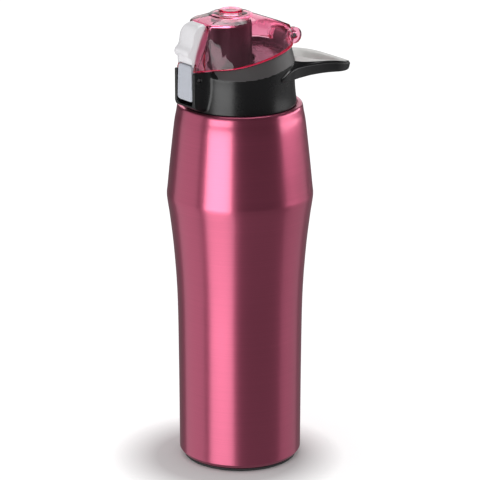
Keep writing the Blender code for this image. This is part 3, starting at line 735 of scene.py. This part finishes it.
def painted_body(material):
    """The painted skin, with the ridge, the rolled shoulder, the ledge and the neck."""
    under = LEDGE_Z - SHELL_WALL
    bottom = rounded_path(BODY_BOTTOM, BODY_BOTTOM_ROUND, 5)
    side = spline([(radius, height) for height, radius in BODY_STATIONS], 6)
    shoulder = rounded_path(SHOULDER, SHOULDER_RADII, 7)
    neck = rounded_path([
        (NECK_RADIUS, LEDGE_Z), (NECK_RADIUS, NECK_TOP), (NECK_INSIDE, NECK_TOP), (NECK_INSIDE, under),
        (LEDGE_INSIDE, under),
    ], NECK_ROUND, 2)
    inside = [(radius - SHELL_WALL, height) for height, radius in reversed(BODY_STATIONS)]
    profile = bottom + side[1:] + shoulder[1:] + neck + inside + list(BODY_BOTTOM_INSIDE)
    add("painted_body", turned(profile, BODY_STEPS), material, "bottle", "painted_steel", "outer_shell")


def neck_thread(material):
    """The raised thread round the neck."""
    rings = []
    steps = int(THREAD_STEPS * THREAD_TURNS)
    for i in range(steps + 1):
        turn = math.tau * i / THREAD_STEPS
        height = THREAD_START_Z + PITCH * turn / math.tau
        crest = min(THREAD_HEIGHT, min(i, steps - i) / THREAD_FADE_STEPS + THREAD_LEAST)
        corners = [THREAD_ROOT[0], (crest, -THREAD_CREST), (crest, THREAD_CREST), THREAD_ROOT[1]]
        section = rounded_path(corners, THREAD_ROUND, 2, closed=True)
        ring = []
        for out, up in section:
            radius = NECK_RADIUS + out
            ring.append((radius * math.cos(turn), radius * math.sin(turn), height + up))
        rings.append(ring)
    add("neck_thread", capped(rings), material, "bottle", "painted_steel")


def rubber_foot(material):
    """The rubber foot, with a shallow ring groove underneath."""
    foot = turned(rounded_path(FOOT_PROFILE, FOOT_ROUND, 3), BODY_STEPS)
    add("rubber_foot", foot, material, "bottle", "black_rubber", "foot_pad")


# ---- cap

def rim_z(y):
    """Height of the parting line between the collar and the lid."""
    share = max(0.0, min(1.0, (y - RIM_START_Y) / RIM_RUN))
    return RIM_LOW + (RIM_HIGH - RIM_LOW) * math.sin(share ** RIM_CURVE * math.pi / 2.0)


def crease_z(y):
    """Height of the crease between the collar's wall and its upper bevel."""
    share = max(0.0, min(1.0, (y - CREASE_START_Y) / CREASE_RUN))
    return rim_z(y) - BAND_FRONT - (BAND_BACK - BAND_FRONT) * math.sin(share * math.pi / 2.0)


def columns(rings, radii, steps):
    """Round a skin between key rings that all have the same number of points."""
    count = max(len(ring) for ring in rings)
    paths = []
    for i in range(count):
        keys = [ring[i] if len(ring) > 1 else ring[0] for ring in rings]
        paths.append(rounded_path(keys, radii, steps))
    fine = [list(ring) for ring in zip(*paths)]
    if len(rings[0]) == 1:
        fine[0] = fine[0][:1]
    if len(rings[-1]) == 1:
        fine[-1] = fine[-1][:1]
    return fine


def collar_ring(radius, height):
    """A ring of the collar. Its height is a number or a function of y."""
    ring = []
    for i in range(COLLAR_STEPS):
        turn = math.tau * (i + 0.5) / COLLAR_STEPS
        x, y = radius * math.cos(turn), radius * math.sin(turn)
        ring.append(Vector((x, y, height(y) if callable(height) else height)))
    return ring


def housing_solid():
    """The button housing: a plan outline that flares into the collar."""
    outline = rounded_path(HOUSING_PLAN, HOUSING_PLAN_RADII, 6)
    outline += [Vector((-p.x, p.y)) for p in reversed(outline[1:])]
    return extruded(outline, 2, HOUSING_BOTTOM, RIM_LOW - RIM_GAP)


def knuckle_solid():
    """The hinge knuckle: a round barrel on a root that stands on the collar."""
    y, z = LID_AXIS[1], LID_AXIS[2]
    share, fall = KNUCKLE_HEEL
    start, sweep = KNUCKLE_ARC
    outline = [*KNUCKLE_ROOT, (y + KNUCKLE_RADIUS * share, z + fall)]
    for i in range(KNUCKLE_STEPS + 1):
        turn = math.radians(start + sweep * i / KNUCKLE_STEPS)
        outline.append((y + KNUCKLE_RADIUS * math.cos(turn), z + KNUCKLE_RADIUS * math.sin(turn)))
    return extruded(outline, 0, KNUCKLE_LEFT, KNUCKLE_RIGHT)


def plain_collar():
    """The collar's wall, slanted bevel and deck, before anything joins or cuts them."""
    def rim(y):
        return rim_z(y) - RIM_GAP

    def deck(y):
        return rim_z(y) - RIM_GAP - DECK_DEPTH

    keys = [[Vector((0.0, 0.0, COLLAR_FOOT))]]
    keys += [collar_ring(radius, height) for radius, height in COLLAR_WALL]
    keys += [
        collar_ring(CREASE_RADIUS, crease_z), collar_ring(RIM_RADIUS, rim), collar_ring(DECK_RADIUS, rim),
        collar_ring(DECK_RADIUS, deck), collar_ring(DECK_CENTRE, deck), [Vector((0.0, 0.0, deck(0.0)))],
    ]
    return make_piece("cap_collar", *loft(columns(keys, COLLAR_RADII, 3)))


def join_housing(collar):
    """Join the button housing to the collar, trimmed to its side and front outlines."""
    housing = make_piece("housing", *housing_solid())
    side = rounded_path(HOUSING_SIDE, HOUSING_SIDE_RADII, 8, closed=True)
    cut(housing, "INTERSECT", *extruded(side, 0, -FAR, FAR))
    face = rounded_path(HOUSING_FACE, HOUSING_FACE_RADII, 5, closed=True)
    cut(housing, "INTERSECT", *extruded(face, 1, -FAR_FRONT, 0.0))
    join = collar.modifiers.new("join", "BOOLEAN")
    join.operation = "UNION"
    join.object = housing
    settle(collar)
    bpy.data.objects.remove(housing, do_unlink=True)


def cut_collar(collar):
    """Cut the bore, the spout's well, the button's pocket, the ears' room and the pin holes."""
    bore = [(0.0, BELOW), (COLLAR_BORE, BELOW), (COLLAR_BORE, PLATE_Z), (0.0, PLATE_Z)]
    cut(collar, "DIFFERENCE", *turned(bore, COLLAR_STEPS))
    well = [
        (0.0, BELOW), (WELL_RADIUS, BELOW), (WELL_RADIUS, WELL_SEAT_Z), (WELL_SEAT_RADIUS, WELL_SEAT_Z),
        (WELL_SEAT_RADIUS, SPOUT_TOP), (0.0, SPOUT_TOP),
    ]
    cut(collar, "DIFFERENCE", *turned(well, WELL_STEPS, (0.0, SPOUT_Y)))
    pocket = rounded_path(POCKET, POCKET_RADII, 6, closed=True)
    cut(collar, "DIFFERENCE", *extruded(pocket, 1, POCKET_FRONT, POCKET_BACK))
    drill(collar, LID_AXIS, EAR_RADIUS + EAR_ROOM, 48, -EAR_OUTER - EAR_GAP, KNUCKLE_LEFT)
    drill(collar, LID_AXIS, EAR_RADIUS + EAR_ROOM, 48, KNUCKLE_RIGHT, EAR_OUTER + EAR_GAP)
    drill(collar, BUTTON_AXIS, PIVOT_HOLE, 24, -PIVOT_HOLE_HALF, PIVOT_HOLE_HALF)
    drill(collar, LID_AXIS, PIN_HOLE, 24, KNUCKLE_LEFT - CUT_PAST, KNUCKLE_RIGHT + CUT_PAST)


def cap_collar(material, band_sheen_material):
    """The black collar with its housing, knuckle and slanted bevel. The bevel has a matte finish and a
    lighter colour that paints the sheen of light from above.
    """
    collar = plain_collar()
    join_housing(collar)
    cut(collar, "UNION", *knuckle_solid())
    cut_collar(collar)
    soften(collar, COLLAR_VOXEL, COLLAR_SMOOTHING)
    paint(collar, material, band_sheen_material)
    # Faces that look up on the bevel take the lighter material, whose colour paints a sheen.
    for face in collar.data.polygons:
        centre = face.center / MM
        on_slope = BAND_TILT_LOW < face.normal.z < BAND_TILT_HIGH
        outside = math.hypot(centre.x, centre.y) > RIM_RADIUS - BAND_INSIDE and centre.y > BAND_START_Y
        if on_slope and outside and crease_z(centre.y) - BAND_BELOW < centre.z < rim_z(centre.y):
            face.material_index = 1
    place(collar, "cap", "black_plastic", "collar")


def spout_piece(material):
    """The drinking spout, a slightly tapered tube with a rolled lip."""
    profile = rounded_path(SPOUT_PROFILE, SPOUT_RADII, 4, closed=True)
    spout = turned(profile, SPOUT_STEPS, (0.0, SPOUT_Y))
    add("drinking_spout", spout, material, "cap", "black_plastic", "spout")


# ---- lid

def lid_half_points():
    """Dense matching points of the lid's lower and upper half outlines, with rounded corners."""
    low = list(LID_LOW)
    start = math.atan2(LID_LOW[-1][1], LID_LOW[-1][0])
    end = math.atan2(LID_LOW_BACK[1], LID_LOW_BACK[0])
    extra = len(LID_TOP) - len(low) - 1
    for i in range(1, extra + 1):
        turn = start + (end - start) * i / extra
        low.append((LID_RADIUS * math.cos(turn), LID_RADIUS * math.sin(turn)))
    low.append((0.0, LID_RADIUS))
    rest = (LID_SIDE_ROUND,) * (len(low) - len(LID_LOW_RADII) - 2) + (LID_BACK_ROUND, 0.0)
    low_path = rounded_path([(x, y, 0.0) for x, y in low], LID_LOW_RADII + rest, 6)
    top_path = rounded_path(LID_TOP, LID_TOP_RADII + rest, 6)
    fitted = []
    for point in low_path:
        x, y = point.x, point.y
        if y > ROUND_FROM_Y:
            grow = LID_RADIUS / math.hypot(x, y)
            x, y = x * grow, y * grow
        fitted.append(Vector((x, y, rim_z(y))))
    return fitted, top_path


def mirrored(half):
    """Close a half outline that starts and ends on x = 0."""
    return half + [Vector((-p.x, p.y, p.z)) for p in reversed(half[1:-1])]


def boss_ring(outline, radius, height):
    """A circle about the spout's axis, with a point towards each point of an outline, or its centre."""
    if radius == 0.0:
        return [Vector((0.0, SPOUT_Y, height))]
    ring = []
    for point in outline:
        turn = math.atan2(point.y - SPOUT_Y, point.x)
        ring.append(Vector((radius * math.cos(turn), SPOUT_Y + radius * math.sin(turn), height)))
    return ring


def middle_ring(low, high):
    """A ring halfway between the lower and the upper edge, swollen outwards."""
    return inset([a.lerp(b, 0.5) for a, b in zip(low, high)], -LID_SWELL)


def clear_lid(material, edge_glow_material):
    """The clear lid: boss rings, sloping top, flat facets, thick lower edge and hinge ears."""
    low_half, top_half = lid_half_points()
    low = mirrored(low_half)
    top = mirrored(top_half)
    low_in = inset(low, LID_WALL)
    top_in = inset(top, LID_WALL, LID_WALL)
    rings = [boss_ring(top, *corner) for corner in BOSS_PROFILE]
    rings += [top, middle_ring(low, top), low, low_in, middle_ring(low_in, top_in), top_in]
    rings += [boss_ring(top, *corner) for corner in CEILING_PROFILE]
    radii = (0.0,) + (BOSS_ROUND,) * (len(BOSS_PROFILE) - 1) + LID_SKIN_RADII + CEILING_RADII
    lid = make_piece("clear_lid", *loft(columns(rings, radii, 5)))
    drill(lid, LID_AXIS, KNUCKLE_RADIUS + EAR_ROOM, 64, SIDE_GAP - EAR_INNER, EAR_INNER - SIDE_GAP)
    for low_x, high_x in ((-EAR_OUTER, -EAR_INNER), (EAR_INNER, EAR_OUTER)):
        cut(lid, "UNION", *extruded(circle(LID_AXIS[1:], EAR_RADIUS, 48), 0, low_x, high_x))
    drill(lid, LID_AXIS, PIN_HOLE, 32, -FAR, FAR)
    paint(lid, material, edge_glow_material)
    # Faces along the lower edge take the deeper red: a painted glow of light through the thick edge.
    for face in lid.data.polygons:
        centre = face.center / MM
        if centre.z < rim_z(centre.y) + LID_EDGE:
            face.material_index = 1
    shade(lid.data)
    place(lid, "lid", "tinted_plastic", "flip_lid")


def lid_gasket(material):
    """The soft pad under the boss."""
    profile = rounded_path(GASKET_PROFILE, GASKET_ROUND, 3)
    gasket = turned(profile, GASKET_STEPS, (0.0, SPOUT_Y))
    add("lid_gasket", gasket, material, "lid", "silicone", "lid_seal")


def end_fall(x, radius):
    """How far a latch that is rounded by a radius at its ends falls away at an x."""
    over = max(0.0, abs(x) - (LATCH_HALF - radius))
    return radius - math.sqrt(max(0.0, radius * radius - over * over))


def thumb_piece(material):
    """The white thumb latch: a rounded back, a lip with a crease, and a leg."""
    path = rounded_path(LATCH_SIDE, LATCH_RADII, 5, closed=True)
    rings = []
    for i in range(LATCH_STEPS + 1):
        x = -LATCH_HALF * math.cos(math.pi * i / LATCH_STEPS)
        shrink = end_fall(x, LATCH_EDGE)
        fall = end_fall(x, LATCH_CORNER)
        ring = []
        for k, point in enumerate(path):
            before, after = path[k - 1], path[(k + 1) % len(path)]
            along = (after - before).normalized()
            y = point.x + along.y * shrink * LATCH_SHRINK
            z = point.y - along.x * shrink * LATCH_SHRINK
            share = max(0.0, min(1.0, (z - LATCH_FADE_Z) / LATCH_FADE_RUN))
            ring.append(Vector((x, y, z - fall * share ** LATCH_FADE_POWER)))
        rings.append(ring)
    add("thumb_piece", capped(rings), material, "lid", "white_plastic", "thumb_latch", sharp=LATCH_SHARP)


def push_button(material):
    """The grey button: a flat face with rounded edges and round lower corners."""
    wide, top, bottom = BUTTON_HIGH.x, BUTTON_HIGH.z, BUTTON_LOW.z
    corners = [
        (BUTTON_TOP_HALF, top), (-BUTTON_TOP_HALF, top), (-wide, BUTTON_WAIST_Z), (-wide, bottom),
        (wide, bottom), (wide, BUTTON_WAIST_Z),
    ]
    outline = rounded_path(corners, BUTTON_RADII, 8, closed=True)
    flat = [Vector((p.x, p.y, 0.0)) for p in outline]

    def ring(depth, distance):
        return [Vector((p.x, depth, p.y)) for p in inset(flat, distance)]

    front, centre = BUTTON_LOW.y, (top + bottom) / 2.0
    keys = [
        [Vector((0.0, BUTTON_BACK, centre))], ring(BUTTON_BACK, 0.0), ring(front, 0.0),
        ring(front, BUTTON_FACE_INSET), [Vector((0.0, front, centre))],
    ]
    rings = columns(keys, (0.0, BUTTON_BACK_EDGE, BUTTON_EDGE, 0.0, 0.0), 5)
    button = make_piece("push_button", *loft(rings))
    barrel = circle(BUTTON_AXIS[1:], BUTTON_BARREL, 40)
    cut(button, "UNION", *extruded(barrel, 0, -BARREL_HALF, BARREL_HALF))
    drill(button, BUTTON_AXIS, PIVOT_HOLE, 24, -FAR, FAR)
    paint(button, material)
    shade(button.data)
    place(button, "button", "grey_plastic", "release_button")


# ---- hinge and button hardware

def rod(centre, radius, half):
    """A rod along X with rounded ends."""
    path = rounded_path([(0.0, -half), (radius, -half), (radius, half), (0.0, half)], ROD_ROUND, 4)
    points, faces = turned(path, ROD_STEPS, centre[1:])
    return [(x, y, z) for y, z, x in points], faces


def coil_points(coil, first, last, start):
    """(along, across, up) points of a coil that fills a room, from its first end to its last."""
    turns, radius, wire = coil
    end_gap = math.copysign(SIDE_GAP + wire, last - first)
    first, last = first + end_gap, last - end_gap
    steps = int(turns * COIL_STEPS)
    points = []
    for i in range(steps + 1):
        turn = start + math.tau * turns * i / steps
        points.append((first + (last - first) * i / steps, radius * math.cos(turn), radius * math.sin(turn)))
    return points


def hardware(steel, dark_steel):
    """The hinge pin, its spring and the button's pin."""
    add("hinge_rod", rod(LID_AXIS, PIN_RADIUS, PIN_HALF), dark_steel, "cap", "steel", "hinge_pin")
    add("pivot_pin", rod(BUTTON_AXIS, PIVOT_RADIUS, PIVOT_HALF), dark_steel, "cap", "steel", "button_pin")
    y, z, radius = LID_AXIS[1], LID_AXIS[2], HINGE_COIL[1]
    turns = coil_points(HINGE_COIL, KNUCKLE_RIGHT, EAR_INNER, -math.pi / 2.0)
    route = [(turns[0][0], y + HINGE_COIL_TAILS[0], z - radius)]
    route += [(along, y + across, z + up) for along, across, up in turns]
    route.append((turns[-1][0], y + HINGE_COIL_TAILS[1], z + radius))
    add("hinge_coil", tube(route, HINGE_COIL[2], WIRE_SIDES), steel, "cap", "steel", "hinge_spring")


def button_coil(material):
    """The coil behind the button, in a mesh of its own."""
    turns = coil_points(BUTTON_COIL, POCKET_BACK, BUTTON_BACK, 0.0)
    route = [(across, along, SPRING_Z + up) for along, across, up in turns]
    wire = tube(route, BUTTON_COIL[2], WIRE_SIDES)
    coil = add("button_coil", wire, material, "cap", "steel", "button_spring")
    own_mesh(coil)


# ---- finger loop

def loop_outline(arm, reach):
    """An outline of the loop in plan: two arms of (y, half width), and a round end."""
    outline = []
    for i in range(LOOP_STEPS):
        turn = math.tau * i / LOOP_STEPS
        c, s = math.cos(turn), math.sin(turn)
        if s >= 0.0:
            across = arm[-1][1] * abs(c) ** LOOP_POWER
            y = LOOP_CENTRE_Y + (reach - LOOP_CENTRE_Y) * s ** LOOP_POWER
        else:
            y = LOOP_CENTRE_Y - (LOOP_CENTRE_Y - arm[0][0]) * min(1.0, -s / ARM_SHARE)
            across = between(arm, y) * min(1.0, abs(c) / math.sqrt(1.0 - ARM_SHARE ** 2))
        outline.append((math.copysign(across, c), y))
    return outline


def edge_ring(arm, reach, inset_by, heights, drop):
    """A ring just inside an outline of the loop, below a line of (y, height) stations."""
    outline = loop_outline([(y, half - inset_by) for y, half in arm], reach - inset_by)
    return [Vector((x, y, between(heights, y) - drop)) for x, y in outline]


def outer_ring(inset_by, heights, drop):
    """A ring just inside the loop's outer edge."""
    return edge_ring(LOOP_ARM, LOOP_REACH, inset_by, heights, drop)


def lip_ring(inset_by, drop):
    """A ring just inside the seat of the liner, below the upper face."""
    return edge_ring(LIP_ARM, LIP_REACH, inset_by, LOOP_TOP, drop)


def hole_ring(inset_by, heights, drop):
    """A ring inside the loop's hole, below a line of (y, height) stations."""
    ring = []
    for i in range(LOOP_STEPS):
        turn = math.tau * i / LOOP_STEPS
        x = (HOLE_HALF - inset_by) * math.cos(turn)
        y = LOOP_CENTRE_Y + (HOLE_HALF_LENGTH - inset_by) * math.sin(turn)
        ring.append(Vector((x, y, between(heights, y) - drop)))
    return ring


def loop_section(keys, radii):
    """A closed ring section swept round the loop, with rounded edges."""
    paths = []
    for i in range(LOOP_STEPS):
        paths.append(rounded_path([ring[i] for ring in keys], radii, 5, closed=True))
    return loft([list(ring) for ring in zip(*paths)], closed=True)


def hug_collar(piece, material):
    """Cut the collar's space from a piece of the loop, and shade it."""
    cut(piece, "DIFFERENCE", *turned(COLLAR_ROOM, COLLAR_STEPS))
    paint(piece, material)
    shade(piece.data)


def finger_loop(material):
    """The black loop: arms that hug the collar, a bevelled ridge and the liner's seat."""
    keys = [
        hole_ring(0.0, LOOP_TOP, LOOP_DISH + LINER_SEAT), lip_ring(0.0, LINER_SEAT), lip_ring(0.0, 0.0),
        outer_ring(LOOP_BEVEL, LOOP_RIDGE, 0.0), outer_ring(0.0, LOOP_RIDGE, LOOP_BEVEL),
        outer_ring(LOOP_TUCK, LOOP_BOTTOM, 0.0), hole_ring(0.0, LOOP_BOTTOM, 0.0),
    ]
    loop = make_piece("finger_loop", *loop_section(keys, LOOP_RADII))
    hug_collar(loop, material)
    place(loop, "cap", "black_plastic", "carry_loop")


def loop_lining(material):
    """The off-white liner that rolls over into the loop's hole."""
    wall = LINER_GAP + LINER_SKIN
    keys = [
        hole_ring(LINER_GAP, LOOP_BOTTOM, -LINER_END[0]), hole_ring(wall, LOOP_BOTTOM, -LINER_END[1]),
        hole_ring(wall, LOOP_TOP, LOOP_DISH), lip_ring(LINER_GAP, 0.0), lip_ring(LINER_GAP, LINER_SKIN),
        hole_ring(LINER_GAP, LOOP_TOP, LOOP_DISH + LINER_SKIN),
    ]
    lining = make_piece("loop_lining", *loop_section(keys, LINER_RADII))
    hug_collar(lining, material)
    place(lining, "cap", "white_rubber", "loop_liner")


# ---- studio

def direction(azimuth, elevation):
    """The way from the bottle to a place round it. Azimuth 0 is the front, 90 the +X side."""
    a, e = math.radians(azimuth), math.radians(elevation)
    return Vector((math.sin(a) * math.cos(e), -math.cos(a) * math.cos(e), math.sin(e)))


def softbox(name, azimuth, elevation, distance, width, height, radiance, only_shine):
    """A rectangular lamp that faces the bottle, with its brightness as a radiance."""
    lamp = bpy.data.lights.new(name, "AREA")
    lamp.shape = "RECTANGLE"
    lamp.size = width
    lamp.size_y = height
    lamp.energy = radiance * math.pi * width * height
    holder = bpy.data.objects.new(name, lamp)
    way = direction(azimuth, elevation)
    holder.location = Vector(LAMP_TARGET) + way * distance
    holder.rotation_euler = way.to_track_quat("Z", "Y").to_euler()
    holder.visible_camera = False
    holder.visible_diffuse = not only_shine
    bpy.context.scene.collection.objects.link(holder)


def surroundings():
    """A white world, which reflections see as a dim room."""
    world = bpy.data.worlds.new("studio")
    bpy.context.scene.world = world
    world.use_nodes = True
    nodes, links = world.node_tree.nodes, world.node_tree.links
    white = nodes["Background"]
    fill(white, Color=(1.0, 1.0, 1.0, 1.0), Strength=WORLD_STRENGTH)
    way = nodes.new("ShaderNodeTexCoord")
    split = nodes.new("ShaderNodeSeparateXYZ")
    fade = nodes.new("ShaderNodeMapRange")
    fill(fade, From_Min=MIRRORED_FROM, From_Max=0.0, To_Min=MIRRORED_BELOW, To_Max=MIRRORED_ABOVE)
    dim = nodes.new("ShaderNodeBackground")
    path = nodes.new("ShaderNodeLightPath")
    mix = nodes.new("ShaderNodeMixShader")
    mirror_only = nodes.new("ShaderNodeMath")
    mirror_only.operation = "SUBTRACT"
    mirror_only.use_clamp = True
    links.new(way.outputs["Generated"], split.inputs["Vector"])
    links.new(split.outputs["Z"], fade.inputs["Value"])
    links.new(fade.outputs["Result"], dim.inputs["Strength"])
    links.new(path.outputs["Is Glossy Ray"], mirror_only.inputs[0])
    links.new(path.outputs["Is Transmission Ray"], mirror_only.inputs[1])
    links.new(mirror_only.outputs["Value"], mix.inputs[0])
    links.new(white.outputs["Background"], mix.inputs[1])
    links.new(dim.outputs["Background"], mix.inputs[2])
    links.new(mix.outputs["Shader"], nodes["World Output"].inputs["Surface"])


def studio_floor():
    """A pale floor that glows away from the bottle. Its glow fades near the bottle, which paints a soft
    shadow round the foot, a little to the front left.
    """
    ground = Finish(
        "floor_paint", (FLOOR_GREY, FLOOR_GREY, FLOOR_GREY), 0.9, Emission_Color=(1.0, 1.0, 1.0, 1.0),
        Specular_IOR_Level=0.0)
    where = ground.node("ShaderNodeTexCoord")
    shift = ground.node("ShaderNodeVectorMath", operation="SUBTRACT")
    shift.inputs[1].default_value = PAINTED_SHADOW_CENTRE
    reach = ground.node("ShaderNodeVectorMath", operation="LENGTH")
    ground.link(where.outputs["Object"], shift.inputs[0])
    ground.link(shift.outputs["Vector"], reach.inputs[0])
    # The floor's glow is low near the bottle: a painted shadow.
    glow_with_painted_shadow = ground.ramp(reach.outputs["Value"], 0.0, FLOOR_GLOW, *PAINTED_SHADOW_RADII)
    ground.link(glow_with_painted_shadow, ground.shader.inputs["Emission Strength"])
    signs = ((-1.0, -1.0), (1.0, -1.0), (1.0, 1.0), (-1.0, 1.0))
    corners = [(x * FLOOR_HALF, y * FLOOR_HALF, FLOOR_Z) for x, y in signs]
    floor = make_piece("floor", corners, [(0, 1, 2, 3)], ground.material)
    floor.visible_glossy = False
    floor.visible_shadow = False


def studio():
    """The surroundings, the floor and the soft lamps."""
    surroundings()
    studio_floor()
    for lamp in LAMPS:
        softbox(*lamp)


def camera():
    """The camera, long and slightly above the bottle."""
    data = bpy.data.cameras.new("camera")
    data.lens = CAMERA_LENS
    data.sensor_width = SENSOR_WIDTH
    view = bpy.data.objects.new("camera", data)
    away = direction(CAMERA_AZIMUTH, CAMERA_ELEVATION)
    view.location = Vector(TARGET) + away * CAMERA_DISTANCE
    view.rotation_euler = away.to_track_quat("Z", "Y").to_euler()
    bpy.context.scene.collection.objects.link(view)
    bpy.context.scene.camera = view


# ---- everything together

def build():
    """Make every piece, the studio and the camera, and finish the CAD nodes that stay."""
    camera()
    studio()
    painted = painted_steel()
    steel = plain_steel("bright_steel", (0.62, 0.62, 0.64), 0.28)
    dark_steel = plain_steel("dark_steel", (0.22, 0.21, 0.22), 0.35)
    black = moulded_plastic("satin_black", (0.004, 0.004, 0.0044), 0.26, 0.025)
    # Matte black with a lighter colour that paints the sheen of light on the collar's bevel.
    matte_black_painted_sheen = moulded_plastic("matte_black_painted_sheen", (0.05, 0.046, 0.047), 0.42, 0.1)
    inner = moulded_plastic("natural_grey", (0.1, 0.1, 0.105), 0.5)
    spout_black = moulded_plastic("spout_black", (0.01, 0.008, 0.009), 0.45, Specular_IOR_Level=0.3)
    rubber = soft_rubber("black_rubber", (0.025, 0.025, 0.027), 0.75)
    silicone = soft_rubber("clear_silicone", (0.72, 0.72, 0.71), 0.5)
    soft_clear = soft_rubber("soft_clear", (0.72, 0.72, 0.71), 0.4, Transmission_Weight=0.75)
    lining = soft_rubber("off_white_rubber", (0.54, 0.535, 0.52), 0.5)
    white = moulded_plastic("satin_white", (0.62, 0.61, 0.63), 0.36)
    grey = speckled_plastic("speckled_grey", (0.38, 0.395, 0.44), 0.5)
    clear = clear_tint("clear_pink", 0.02)
    # A deeper, less clear red that paints the glow of light through the lid's thick lower edge.
    edge = moulded_plastic("pink_edge_painted_glow", (0.78, 0.03, 0.11), 0.2, Transmission_Weight=0.35)
    painted_body(painted)
    neck_thread(painted)
    rubber_foot(rubber)
    cap_collar(black, matte_black_painted_sheen)
    spout_piece(spout_black)
    clear_lid(clear, edge)
    lid_gasket(soft_clear)
    thumb_piece(white)
    push_button(grey)
    hardware(steel, dark_steel)
    button_coil(steel)
    finger_loop(black)
    loop_lining(lining)
    kept_nodes = {
        "inner_flask": steel, "base_cup": painted, "vacuum_getter": steel, "threaded_insert": inner,
        "neck_seal": silicone, "spout_o_ring": silicone,
    }
    for node, material in kept_nodes.items():
        paint(frame["nodes"][node], material)
    bpy.context.scene.view_settings.view_transform = "Standard"


build()
